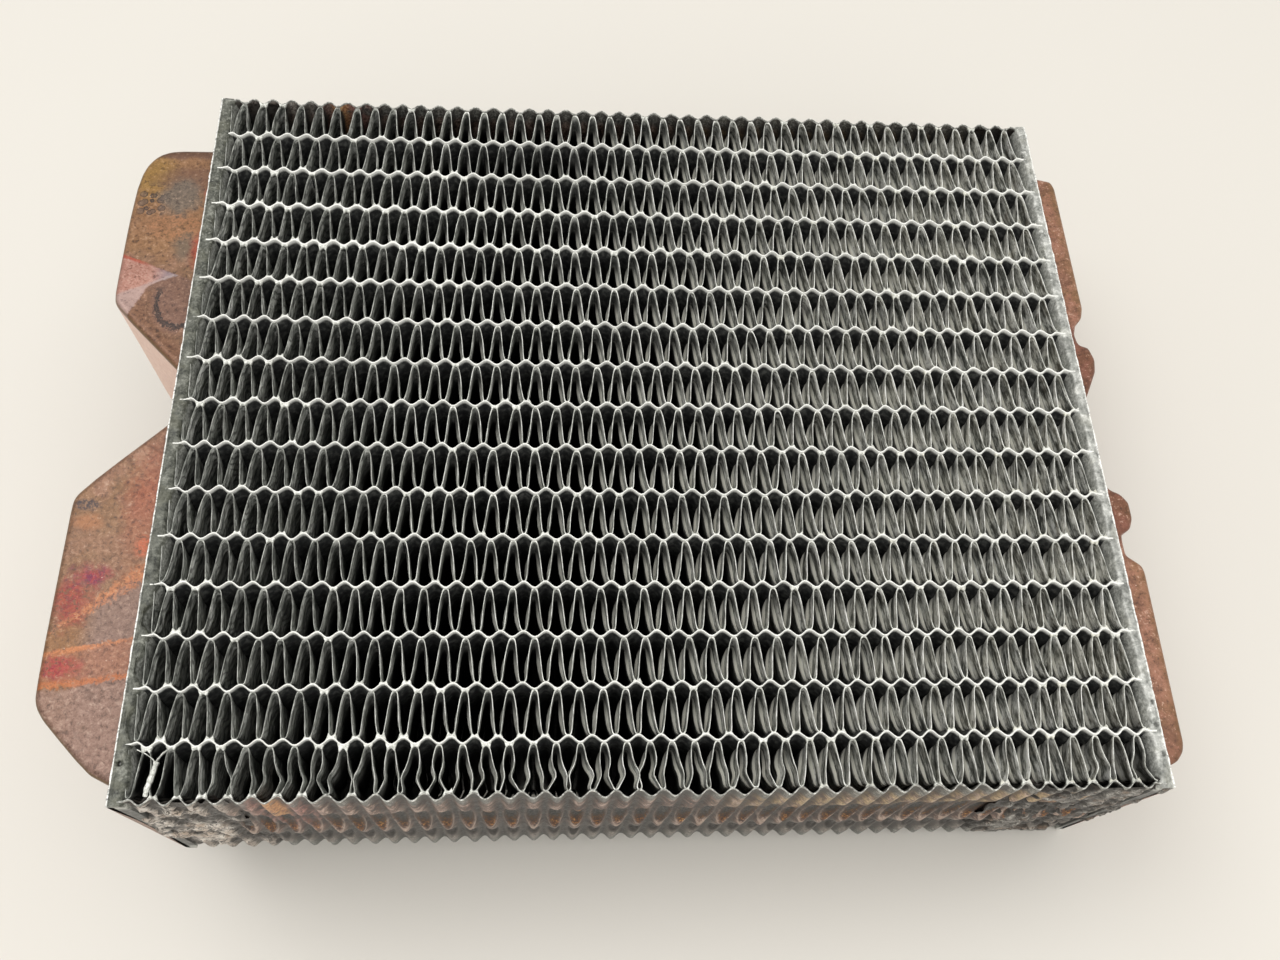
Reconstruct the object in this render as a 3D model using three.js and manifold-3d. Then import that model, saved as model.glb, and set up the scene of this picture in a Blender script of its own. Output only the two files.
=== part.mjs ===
// Heater-core radiator: a small copper and brass car radiator with a ribbon
// and fin core, two port tanks on the left end, a return tank on the right end
// and two hose stubs on the rear.
//
// Frame, millimetres: +Z is the normal of the front air face, +X runs along the
// tubes from the port tanks to the return tank, +Y runs across the tubes.
// The origin is the centre of the bounding box's bottom face, so the ends of
// the hose stubs are at z = 0 and the front air face is at z = FRONT_Z.
import * as THREE from 'three';
import * as BGU from 'three/addons/utils/BufferGeometryUtils.js';
import Module from 'manifold-3d';

const wasm = await Module();
wasm.setup();

// ---- driving dimensions -------------------------------------------------
const CORE_W = 187.0;            // across the core, header to header
const CORE_H = 155.5;            // across the tubes
const CORE_T = 50.0;             // air-side depth
const STUB_DROP = 17.0;          // hose stubs past the rear air face
const FRONT_Z = CORE_T + STUB_DROP;
const LEFT_REACH = 110.2;        // face centre to the outside of the port tanks
const RIGHT_REACH = 99.5;        // face centre to the outside of the return tank
const CENTRE_X = (LEFT_REACH - RIGHT_REACH) / 2;

const ROW_PITCH = 9.631;         // ribbon to ribbon
const ROWS = 16;                 // fin rows
const FIRST_ROW_Y = 77.05;       // centre line of the uppermost ribbon
const WAVE_PITCH = 4.11;         // fin pitch, one crest and one valley
const WAVES = 44;
const FIRST_CREST_X = -88.24;    // first fin crest

const TUBE_T = 1.6;              // flat water tube, outside thickness
const TUBE_WALL = 0.25;
const TUBE_EDGE = 0.4;           // folded edge thickness
const TUBE_INSET = 0.8;          // tube edge behind the header edge, front and rear
const FIN_T = 0.15;
const CLEAR = 0.3;               // solder film left between soldered pieces
const SIDE_T = 0.35;             // side strip stock
const SIDE_WAVE = 0.5;           // side strip wave, half height

const HEADER_L = [-92.2, -91.4]; // left header plate, x
const HEADER_R = [91.8, 92.4];   // right header plate, x
const PAN_L = [-93.5, -92.5];    // left tank pans, x
const PAN_R = [92.7, 93.5];      // right tank pan, x
const PAN_FLOOR = 0.6;           // pan sheet over the tube ends
const PAN_RIM = 0.8;
const PAN_SPLIT_Y = -1.5;        // the two port tanks meet here
const PAN_GAP = 0.4;

const TANK_WALL = 0.8;
const TANK_FRONT = -4.0;         // tank faces behind the front air face
const TANK_REAR = -46.0;
const TANK_ROUND = 1.6;          // rounding of the tank face edges

const STUB_R = 6.35;             // hose stub, 12.7 mm outside
const STUB_WALL = 0.9;
const STUB_TOP = -43.4;          // end inside the tank
const BEAD_R = 7.1;              // rolled hose bead
const UPPER_STUB = [-101.0, 34.0];
const LOWER_STUB = [-101.2, -38.0];

// ---- materials ----------------------------------------------------------
const mat = (color, roughness, metalness) =>
  new THREE.MeshStandardMaterial({ color, roughness, metalness });
const tinned = () => mat(0xa3a199, 0.55, 0.8);
const finGrey = () => mat(0x53534f, 0.6, 0.75);
const copper = () => mat(0x9c6f58, 0.45, 0.85);
const stubCopper = () => mat(0xa9765a, 0.4, 0.85);
const solder = () => mat(0x9a968c, 0.5, 0.7);
const sideBrass = () => mat(0x7d6b5a, 0.55, 0.75);

// ---- solid helpers ------------------------------------------------------
function toSolid(geometry) {
  const g = geometry.clone();
  g.deleteAttribute('normal');
  g.deleteAttribute('uv');
  const m = BGU.mergeVertices(g, 1e-4);
  return new wasm.Manifold(new wasm.Mesh({
    numProp: 3,
    vertProperties: new Float32Array(m.attributes.position.array),
    triVerts: new Uint32Array(m.index.array),
  }));
}
function toGeometry(solid) {
  const m = solid.getMesh();
  const g = new THREE.BufferGeometry();
  g.setAttribute('position', new THREE.BufferAttribute(new Float32Array(m.vertProperties), 3));
  g.setIndex(new THREE.BufferAttribute(new Uint32Array(m.triVerts), 1));
  g.computeVertexNormals();
  return g;
}
function box(x0, x1, y0, y1, z0, z1) {
  const g = new THREE.BoxGeometry(x1 - x0, y1 - y0, z1 - z0);
  g.translate((x0 + x1) / 2, (y0 + y1) / 2, (z0 + z1) / 2);
  return g;
}
function shapeOf(points) {
  // every outline runs anticlockwise, whichever way its points were listed
  const v = points.map(([x, y]) => new THREE.Vector2(x, y));
  return new THREE.Shape(THREE.ShapeUtils.area(v) < 0 ? v.reverse() : v);
}
// A prism along z from z0 to z1 whose end edges are rounded, drawn in from the
// outline by `inset`.
function roundedPrism(points, z0, z1, round, inset) {
  const g = new THREE.ExtrudeGeometry(shapeOf(points), {
    depth: z1 - z0 - 2 * round,
    bevelEnabled: true,
    bevelThickness: round,
    bevelSize: round,
    bevelOffset: -round - inset,
    bevelSegments: 2,
    steps: 1,
  });
  g.translate(0, 0, z0 + round);
  return g;
}

const root = new THREE.Group();
const core = new THREE.Group();          // front-face centre frame
core.position.set(CENTRE_X, 0, FRONT_Z);
root.add(core);
function add(name, geometry, material, parent = core) {
  const mesh = new THREE.Mesh(geometry, material);
  mesh.name = name;
  parent.add(mesh);
  return mesh;
}
const two = (n) => String(n).padStart(2, '0');
const rowY = (k) => FIRST_ROW_Y - ROW_PITCH * k;

// ---- water tubes: flat, folded to a thin edge at both air faces ----------
{
  const h = TUBE_T / 2, e = TUBE_EDGE / 2, w = TUBE_WALL;
  const zf = -TUBE_INSET, zr = -CORE_T + TUBE_INSET;
  const outer = [[e, zf], [h, zf - 3.2], [h, zr + 3.2], [e, zr], [-e, zr], [-h, zr + 3.2], [-h, zf - 3.2], [-e, zf]];
  const hi = h - w;
  const inner = [[0, zf - 1.4], [hi, zf - 3.6], [hi, zr + 3.6], [0, zr + 1.4], [-hi, zr + 3.6], [-hi, zf - 3.6]];
  const x0 = HEADER_L[0] - 0.15, x1 = HEADER_R[1] + 0.1;
  for (let k = 1; k < ROWS; k++) {
    // shape x is -z of the core and shape y is y of the core
    const s = shapeOf(outer.map(([y, z]) => [-z, y]));
    s.holes.push(new THREE.Path(inner.map(([y, z]) => new THREE.Vector2(-z, y))));
    const g = new THREE.ExtrudeGeometry(s, { depth: x1 - x0, bevelEnabled: false, steps: 1 });
    const tube = add(`water_tube_${two(k)}`, g, tinned());
    tube.rotation.set(0, Math.PI / 2, 0);          // z -> x, x -> -z
    tube.position.set(x0, rowY(k), 0);
  }
}

// ---- zigzag strips: fins and side strips ---------------------------------
function zigzag(half, thickness, first, last, upAt) {
  // centre line vertices, alternately down and up
  const pts = [];
  for (let i = first; i <= last; i++) {
    const x = FIRST_CREST_X + (i * WAVE_PITCH) / 2;
    const up = (((i % 2) + 2) % 2 === 0) === upAt;
    pts.push([x, up ? half : -half]);
  }
  const cos = (WAVE_PITCH / 2) / Math.hypot(WAVE_PITCH / 2, 2 * half);
  const dy = thickness / (2 * cos);
  return shapeOf([
    ...pts.map(([x, y]) => [x, y - dy]),
    ...pts.slice().reverse().map(([x, y]) => [x, y + dy]),
  ]);
}
{
  const free = ROW_PITCH - TUBE_T - 2 * CLEAR;       // row height for a fin strip
  const leg = WAVE_PITCH / 2;
  // solve for the half height whose offset outline just fills the row
  let half = free / 2;
  for (let i = 0; i < 20; i++) half = free / 2 - (FIN_T / 2) * Math.hypot(leg, 2 * half) / leg;
  const z0 = -CORE_T + TUBE_INSET, z1 = -TUBE_INSET;
  for (let r = 0; r < ROWS; r++) {
    const g = new THREE.ExtrudeGeometry(zigzag(half, FIN_T, -1, 2 * WAVES - 1, true),
      { depth: z1 - z0, bevelEnabled: false, steps: 1 });
    const fin = add(`fin_strip_${two(r + 1)}`, g, finGrey());
    fin.position.set(0, (rowY(r) + rowY(r + 1)) / 2, z0);
  }
  const sideHalf = SIDE_WAVE - 0.18;
  for (const [name, y] of [['side_strip_upper', rowY(0)], ['side_strip_lower', rowY(ROWS)]]) {
    const g = new THREE.ExtrudeGeometry(zigzag(sideHalf, SIDE_T, -1, 2 * WAVES - 1, false),
      { depth: z1 - z0, bevelEnabled: false, steps: 1 });
    add(name, g, sideBrass()).position.set(0, y, z0);
  }
}

// ---- header plates: one slot for each water tube -------------------------
for (const [name, [x0, x1]] of [['header_plate_left', HEADER_L], ['header_plate_right', HEADER_R]]) {
  const H = CORE_H / 2;
  const s = shapeOf([[0, -H], [CORE_T, -H], [CORE_T, H], [0, H]]);
  for (let k = 1; k < ROWS; k++) {
    const y = rowY(k), a = TUBE_T / 2 + CLEAR, z0 = TUBE_INSET - CLEAR, z1 = CORE_T - TUBE_INSET + CLEAR;
    s.holes.push(new THREE.Path([[z0, y - a], [z0, y + a], [z1, y + a], [z1, y - a]].map(([u, v]) => new THREE.Vector2(u, v))));
  }
  const g = new THREE.ExtrudeGeometry(s, { depth: x1 - x0, bevelEnabled: false, steps: 1 });
  const plate = add(name, g, tinned());
  plate.rotation.set(0, Math.PI / 2, 0);
  plate.position.set(x0, 0, 0);
}

// ---- tanks ---------------------------------------------------------------
// Port tank outlines (x, y), drawn past the pan so that they can be cut at it.
const UPPER_TANK = [[-90, 66.0], [-96.8, 65.9], [-101.2, 65.8], [-103.95, 65.45], [-106.0, 64.5], [-107.35, 63.2], [-108.55, 61.15],
  [-109.25, 58.85], [-109.8, 54.7], [-109.95, 50.6], [-110.08, 46.5], [-110.12, 42.5], [-110.12, 30.9], [-110.05, 27.1],
  [-109.8, 25.4], [-109.0, 24.0], [-104.75, 19.4], [-95.5, 9.8], [-90, 4.1]];
const LOWER_TANK = [[-90, -1.8], [-93.6, -1.8], [-98.3, -6.7], [-102.7, -11.05], [-106.8, -15.4], [-109.5, -18.7], [-110.15, -20.3], [-110.2, -22.4],
  [-110.2, -47.5], [-110.12, -54.8], [-110.0, -58.4], [-109.5, -59.9], [-108.1, -62.0], [-104.7, -65.6], [-101.3, -69.1],
  [-98.5, -71.7], [-95.14, -73.4], [-90, -74.8]];
// Return tank outline: two long bosses, two short ones and the low floor between them.
const RETURN_TANK = [[90, 66.0], [95.94, 64.8], [98.62, 64.19], [99.5, 62.13], [99.17, 28.37], [98.4, 25.74], [96.62, 23.85],
  [95.88, 21.34], [96.27, 18.75], [98.42, 18.02], [99.45, 14.9], [98.73, 11.89], [96.04, 6.58], [94.9, 4.6],
  [94.9, -15.2], [95.94, -16.6], [97.83, -17.41], [99.23, -19.4], [99.27, -23.03], [98.29, -25.3], [96.15, -26.48],
  [96.0, -28.6], [96.05, -31.11], [97.37, -32.07], [98.94, -33.32], [99.25, -34.88], [98.9, -68.96], [98.4, -70.6],
  [97.1, -72.22], [95.76, -72.9], [90, -74.4]];

function tank(outline, [p0, p1], side, y0, y1, round, stub) {
  // side -1: the pan floor is at p0 and the dome goes towards -x; side 1: mirrored
  const rear = -CORE_T, front = 0;
  let pan = toSolid(box(p0, p1, y0, y1, rear, front));
  const f0 = side < 0 ? p0 + PAN_FLOOR : p0 - 1;
  const f1 = side < 0 ? p1 + 1 : p1 - PAN_FLOOR + 0.1;
  pan = pan.subtract(toSolid(box(f0, f1, y0 + PAN_RIM, y1 - PAN_RIM, rear + PAN_RIM, front - PAN_RIM)));
  let dome = toSolid(roundedPrism(outline, TANK_REAR, TANK_FRONT, round, 0));
  const cut = side < 0 ? box(-200, p0 + 0.3, -100, 100, -80, 20) : box(p1 - 0.3, 200, -100, 100, -80, 20);
  dome = dome.intersect(toSolid(cut));
  let body = pan.add(dome);
  const cavity = toSolid(roundedPrism(outline, TANK_REAR + TANK_WALL, TANK_FRONT - TANK_WALL, round - 0.6, TANK_WALL));
  const keep = side < 0 ? box(-200, p1 + 1, y0 + PAN_RIM, y1 - PAN_RIM, -80, 20) : box(p0 - 1, 200, y0 + PAN_RIM, y1 - PAN_RIM, -80, 20);
  body = body.subtract(cavity.intersect(toSolid(keep)));
  if (stub) {
    const c = new THREE.CylinderGeometry(STUB_R + CLEAR, STUB_R + CLEAR, 4, 24);
    c.rotateX(Math.PI / 2);
    c.translate(stub[0], stub[1], TANK_REAR);
    body = body.subtract(toSolid(c));
  }
  return toGeometry(body);
}
const EDGE_Y = CORE_H / 2;
add('outlet_tank', tank(UPPER_TANK, PAN_L, -1, PAN_SPLIT_Y + PAN_GAP / 2, EDGE_Y, TANK_ROUND, UPPER_STUB), copper());
add('inlet_tank', tank(LOWER_TANK, PAN_L, -1, -EDGE_Y, PAN_SPLIT_Y - PAN_GAP / 2, TANK_ROUND, LOWER_STUB), copper());
add('return_tank', tank(RETURN_TANK, PAN_R, 1, -EDGE_Y, EDGE_Y, 1.2, null), copper());

// ---- hose stubs with a rolled bead, and their brazed collars --------------
function ring(profile) {
  const g = new THREE.LatheGeometry([...profile, profile[0]].map(([r, z]) => new THREE.Vector2(r, z)), 24);
  g.rotateX(Math.PI / 2);                // lathe axis y -> z
  return toGeometry(toSolid(g));
}
for (const [label, [x, y]] of [['outlet', UPPER_STUB], ['inlet', LOWER_STUB]]) {
  const ri = STUB_R - STUB_WALL, end = -FRONT_Z;
  add(`${label}_stub`, ring([[ri, STUB_TOP], [ri, end], [STUB_R, end], [STUB_R, end + 3.0], [BEAD_R, end + 3.8], [BEAD_R, end + 5.0],
    [STUB_R, end + 5.8], [STUB_R, STUB_TOP]]), stubCopper()).position.set(x, y, 0);
  add(`${label}_collar`, ring([[STUB_R + CLEAR, TANK_REAR - CLEAR], [STUB_R + CLEAR, TANK_REAR - 2.2], [STUB_R + 0.75, TANK_REAR - 1.2],
    [STUB_R + 1.0, TANK_REAR - CLEAR]]), solder()).position.set(x, y, 0);
}

// ---- solder built up over the four corners of the core ---------------------
function corner(x0, x1, y, sign, z0, z1) {
  // a thin pad on the outside of the side strip, beside the header plate
  const t = 0.45, c = 3.0, b = y + sign * t;
  const s = shapeOf([[x0 + c, z0], [x1 - c, z0], [x1, z0 + c], [x1, z1 - c], [x1 - c, z1], [x0 + c, z1], [x0, z1 - c], [x0, z0 + c]]);
  const g = new THREE.ExtrudeGeometry(s, { depth: t, bevelEnabled: false, steps: 1 });
  g.rotateX(Math.PI / 2);                // shape y -> z, depth -> -y
  g.translate(0, Math.max(y, b), 0);
  return g;
}
const PAD_Y = EDGE_Y + CLEAR;
add('corner_solder_lower_right', corner(72, 93.4, -PAD_Y, -1, -46, -5), solder());
add('corner_solder_lower_left', corner(-93.4, -78, -PAD_Y, -1, -44, -6), solder());
add('corner_solder_upper_right', corner(84, 93.4, PAD_Y, 1, -42, -8), solder());
add('corner_solder_upper_left', corner(-93.4, -84, PAD_Y, 1, -42, -8), solder());

export default root;
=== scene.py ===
import bpy
import math
import numpy as np
from mathutils import Matrix, Vector


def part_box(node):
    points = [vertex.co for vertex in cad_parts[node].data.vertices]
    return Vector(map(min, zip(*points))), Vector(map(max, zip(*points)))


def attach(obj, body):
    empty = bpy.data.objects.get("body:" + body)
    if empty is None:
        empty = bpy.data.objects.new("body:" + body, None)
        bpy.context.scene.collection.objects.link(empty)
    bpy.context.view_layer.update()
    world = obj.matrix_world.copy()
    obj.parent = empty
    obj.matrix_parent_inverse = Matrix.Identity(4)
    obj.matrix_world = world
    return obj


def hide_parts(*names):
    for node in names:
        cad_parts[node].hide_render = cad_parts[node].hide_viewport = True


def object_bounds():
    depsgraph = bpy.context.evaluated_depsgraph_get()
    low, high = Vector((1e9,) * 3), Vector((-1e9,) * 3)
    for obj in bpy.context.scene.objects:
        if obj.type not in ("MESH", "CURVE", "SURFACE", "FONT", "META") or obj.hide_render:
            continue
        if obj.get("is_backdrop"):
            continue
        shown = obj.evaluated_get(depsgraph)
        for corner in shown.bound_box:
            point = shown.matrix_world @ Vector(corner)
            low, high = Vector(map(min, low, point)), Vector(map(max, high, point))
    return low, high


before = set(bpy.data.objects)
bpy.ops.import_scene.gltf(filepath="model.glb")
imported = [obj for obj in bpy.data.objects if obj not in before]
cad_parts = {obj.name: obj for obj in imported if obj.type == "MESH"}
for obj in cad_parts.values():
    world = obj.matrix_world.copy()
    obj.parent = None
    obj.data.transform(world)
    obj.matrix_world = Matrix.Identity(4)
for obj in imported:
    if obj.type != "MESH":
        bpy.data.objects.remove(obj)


def plain(b):
    if isinstance(b, dict):
        return {k: plain(v) for k, v in b.items()}
    if hasattr(b, "__len__") and not isinstance(b, str):
        return [plain(v) for v in b]
    return b if isinstance(b, str) else float(b)


SIZE_FIRST = plain(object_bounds())

# ------------------------------------------------------------------ anchors
# Lengths below are millimetres in the core's own frame: origin at the centre of the front air face, +Z out of it.
MM = 1000.0
_hl, _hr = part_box("header_plate_left"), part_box("header_plate_right")
OX = _hl[0][0] * MM + 92.2
OZ = _hl[1][2] * MM
ORG = np.array([OX, 0.0, OZ])
DEPTH = OZ - _hl[0][2] * MM                      # 50
ROW_Y = []
for k in range(17):
    node = "side_strip_upper" if k == 0 else "side_strip_lower" if k == 16 else "water_tube_%02d" % k
    lo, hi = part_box(node)
    ROW_Y.append((lo[1] + hi[1]) * 0.5 * MM)
ROW_Y[0], ROW_Y[16] = 77.05, -77.05
PITCH = ROW_Y[1] - ROW_Y[2]
WAVE = 4.11
TX0 = -88.24
NW = 44
TROUGH = TX0 + WAVE * np.arange(NW)
AMP = 0.62
LEFT_IN, RIGHT_IN = -91.4, 92.0
rng = np.random.RandomState(7)

# ------------------------------------------------------------------ noise


def _hash(ix, iy, seed):
    h = (ix.astype(np.int64) * 374761393 + iy.astype(np.int64) * 668265263 + seed * 1442695041) & 0xFFFFFFFF
    h = ((h ^ (h >> 13)) * 1274126177) & 0xFFFFFFFF
    h = h ^ (h >> 16)
    return (h & 0xFFFF) / 32767.5 - 1.0


def vn(x, y, seed=0):
    x, y = np.broadcast_arrays(np.asarray(x, float), np.asarray(y, float))
    ix, iy = np.floor(x), np.floor(y)
    fx, fy = x - ix, y - iy
    fx, fy = fx * fx * (3 - 2 * fx), fy * fy * (3 - 2 * fy)
    a, b = _hash(ix, iy, seed), _hash(ix + 1, iy, seed)
    c, d = _hash(ix, iy + 1, seed), _hash(ix + 1, iy + 1, seed)
    return (a * (1 - fx) + b * fx) * (1 - fy) + (c * (1 - fx) + d * fx) * fy


def fbm(x, y, seed=0, octaves=3):
    t, s, n = 0.0, 1.0, 0.0
    for o in range(octaves):
        t = t + vn(np.asarray(x) * 2 ** o, np.asarray(y) * 2 ** o, seed + 17 * o) * s
        n += s
        s *= 0.5
    return t / n


def sst(x, a, b):
    t = np.clip((np.asarray(x, float) - a) / (b - a), 0, 1)
    return t * t * (3 - 2 * t)


# ------------------------------------------------------------------ meshes


def grid(nu, nv, close_u=False, close_v=False, flip=False):
    """Quads for a nu x nv array of points, u the slow index."""
    i = np.arange(nu if close_u else nu - 1)[:, None]
    j = np.arange(nv if close_v else nv - 1)[None, :]
    a = i * nv + j
    b = ((i + 1) % nu) * nv + j
    c = ((i + 1) % nu) * nv + (j + 1) % nv
    d = i * nv + (j + 1) % nv
    q = np.stack([a, b, c, d], -1).reshape(-1, 4)
    return q[:, ::-1] if flip else q


def mesh(name, parts, mat, replaces=()):
    vs, fs, off = [], [], 0
    for v, f in parts:
        v = np.asarray(v, float).reshape(-1, 3)
        for ff in (f if isinstance(f, list) else [f]):
            fs.append(np.asarray(ff) + off)
        vs.append(v)
        off += len(v)
    v = (np.concatenate(vs) + ORG) / MM
    loops = np.concatenate([f.reshape(-1) for f in fs]).astype(np.int32)
    total = np.concatenate([np.full(len(f), f.shape[1]) for f in fs]).astype(np.int32)
    start = (np.cumsum(total) - total).astype(np.int32)
    me = bpy.data.meshes.new(name)
    me.vertices.add(len(v))
    me.vertices.foreach_set("co", v.astype(np.float32).ravel())
    me.loops.add(len(loops))
    me.loops.foreach_set("vertex_index", loops)
    me.polygons.add(len(total))
    me.polygons.foreach_set("loop_start", start)
    try:
        me.polygons.foreach_set("loop_total", total)
    except Exception:
        pass
    me.polygons.foreach_set("use_smooth", np.ones(len(total), bool))
    me.update(calc_edges=True)
    me.validate()
    me.materials.append(mat)
    o = bpy.data.objects.new(name, me)
    bpy.context.scene.collection.objects.link(o)
    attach(o, "root")
    if replaces:
        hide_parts(*replaces)
    return o


# ------------------------------------------------------------------ material helper


def lin(c):
    out = []
    for x in c[:3]:
        x = x / 255.0
        out.append(x / 12.92 if x <= 0.04045 else ((x + 0.055) / 1.055) ** 2.4)
    return (out[0], out[1], out[2], 1.0)


class G:
    def __init__(self, name):
        self.mat = bpy.data.materials.new(name)
        self.mat.use_nodes = True
        self.t = self.mat.node_tree
        self.t.nodes.clear()
        out = self.t.nodes.new("ShaderNodeOutputMaterial")
        self.b = self.t.nodes.new("ShaderNodeBsdfPrincipled")
        self.t.links.new(self.b.outputs[0], out.inputs[0])
        tc = self.t.nodes.new("ShaderNodeTexCoord")
        a = self.vm("MULTIPLY", tc.outputs["Object"], (MM, MM, MM))
        self.p = self.vm("SUBTRACT", a, tuple(ORG))
        s = self.t.nodes.new("ShaderNodeSeparateXYZ")
        self.t.links.new(self.p, s.inputs[0])
        self.x, self.y, self.z = s.outputs

    def put(self, sock, v):
        if isinstance(v, bpy.types.NodeSocket):
            self.t.links.new(v, sock)
        elif hasattr(v, "__len__"):
            n = len(sock.default_value)
            sock.default_value = tuple(v)[:n] if len(v) >= n else tuple(v) + (1.0,) * (n - len(v))
        else:
            sock.default_value = v

    def vm(self, op, a, b):
        n = self.t.nodes.new("ShaderNodeVectorMath")
        n.operation = op
        self.put(n.inputs[0], a)
        self.put(n.inputs[1], b)
        return n.outputs[0]

    def m(self, op, a, b=0.0, clamp=False):
        n = self.t.nodes.new("ShaderNodeMath")
        n.operation = op
        n.use_clamp = clamp
        self.put(n.inputs[0], a)
        self.put(n.inputs[1], b)
        return n.outputs[0]

    def ss(self, v, a, b, lo=0.0, hi=1.0):
        n = self.t.nodes.new("ShaderNodeMapRange")
        n.interpolation_type = "SMOOTHSTEP"
        if a > b:
            a, b, lo, hi = b, a, hi, lo
        self.put(n.inputs["Value"], v)
        n.inputs["From Min"].default_value = a
        n.inputs["From Max"].default_value = b
        n.inputs["To Min"].default_value = lo
        n.inputs["To Max"].default_value = hi
        return n.outputs[0]

    def noise(self, scale, detail=3.0, rough=0.55, dist=0.0, v=None, col=False):
        n = self.t.nodes.new("ShaderNodeTexNoise")
        self.put(n.inputs["Vector"], v if v is not None else self.p)
        n.inputs["Scale"].default_value = scale
        n.inputs["Detail"].default_value = detail
        n.inputs["Roughness"].default_value = rough
        n.inputs["Distortion"].default_value = dist
        return n.outputs[1] if col else n.outputs[0]

    def vor(self, scale, feature="F1", v=None, rand=1.0):
        n = self.t.nodes.new("ShaderNodeTexVoronoi")
        n.feature = feature
        self.put(n.inputs["Vector"], v if v is not None else self.p)
        n.inputs["Scale"].default_value = scale
        n.inputs["Randomness"].default_value = rand
        return n.outputs[0]

    def stretch(self, sx, sy, sz):
        return self.vm("MULTIPLY", self.p, (sx, sy, sz))

    def ramp(self, f, stops, interp="LINEAR"):
        n = self.t.nodes.new("ShaderNodeValToRGB")
        n.color_ramp.interpolation = interp
        els = n.color_ramp.elements
        while len(els) < len(stops):
            els.new(0.5)
        for e, (pos, c) in zip(els, stops):
            e.position = pos
            e.color = lin(c) if hasattr(c, "__len__") else (c, c, c, 1)
        self.put(n.inputs[0], f)
        return n.outputs[0]

    def mix(self, f, a, b, blend="MIX"):
        n = self.t.nodes.new("ShaderNodeMix")
        n.data_type = "RGBA"
        n.blend_type = blend
        self.put(n.inputs[0], f)
        ins = [i for i in n.inputs if i.type == "RGBA"]
        self.put(ins[0], lin(a) if isinstance(a, tuple) else a)
        self.put(ins[1], lin(b) if isinstance(b, tuple) else b)
        return [o for o in n.outputs if o.type == "RGBA"][0]

    def blob(self, cx, cy, r0, r1, wob=None, sx=1.0, sy=1.0, cz=None):
        """1 inside r0 of the point, 0 beyond r1."""
        dx = self.m("MULTIPLY", self.m("SUBTRACT", self.x, cx), 1.0 / sx)
        dy = self.m("MULTIPLY", self.m("SUBTRACT", self.y, cy), 1.0 / sy)
        d = self.m("ADD", self.m("MULTIPLY", dx, dx), self.m("MULTIPLY", dy, dy))
        if cz is not None:
            dz = self.m("SUBTRACT", self.z, cz)
            d = self.m("ADD", d, self.m("MULTIPLY", dz, dz))
        d = self.m("SQRT", d)
        if wob is not None:
            d = self.m("ADD", d, wob)
        return self.ss(d, r0, r1, 1.0, 0.0)

    def band(self, nx, ny, c, half, soft, wob=None):
        """1 within half of the line nx*x+ny*y=c."""
        d = self.m("ADD", self.m("MULTIPLY", self.x, nx), self.m("MULTIPLY", self.y, ny))
        d = self.m("SUBTRACT", d, c)
        if wob is not None:
            d = self.m("ADD", d, wob)
        return self.ss(self.m("ABSOLUTE", d), half, half + soft, 1.0, 0.0)

    def depth(self):
        """Distance behind the nearer air face."""
        return self.m("MINIMUM", self.m("MULTIPLY", self.z, -1.0), self.m("ADD", self.z, DEPTH))

    def done(self, color, rough=0.5, metal=0.3, bump=None, bump_d=0.05, spec=0.5):
        self.put(self.b.inputs["Base Color"], color)
        self.put(self.b.inputs["Roughness"], rough)
        self.put(self.b.inputs["Metallic"], metal)
        if "Specular IOR Level" in self.b.inputs:
            self.b.inputs["Specular IOR Level"].default_value = spec
        if bump is not None:
            n = self.t.nodes.new("ShaderNodeBump")
            n.inputs["Strength"].default_value = 0.6
            n.inputs["Distance"].default_value = bump_d / MM
            self.put(n.inputs["Height"], bump)
            self.t.links.new(n.outputs[0], self.b.inputs["Normal"])
        return self.mat


def mat_tube():
    g = G("tinned tube ribbon")
    d = g.depth()
    n1 = g.noise(0.9, 4, 0.6)
    n2 = g.noise(4.0, 3, 0.6)
    edge = g.ramp(n2, [(0.25, (214, 215, 207)), (0.5, (242, 242, 236)), (0.75, (252, 252, 248))])
    # painted shade: behind the bright front edge the ribbon's face is coloured dark charcoal, and darker still beyond 7
    # mm deep between the fins
    deep_painted_shade = g.ramp(n1, [(0.36, (24, 25, 26)), (0.5, (44, 45, 45)), (0.64, (84, 85, 82))])
    c = g.mix(g.ss(d, 0.45, 1.3), edge, deep_painted_shade)
    c = g.mix(g.ss(d, 7.0, 12.0, 0, 0.75), c, (22, 22, 22))
    return g.done(c, g.ss(d, 0.4, 1.4, 0.40, 0.62), 0.10, n2, 0.03)


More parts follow.
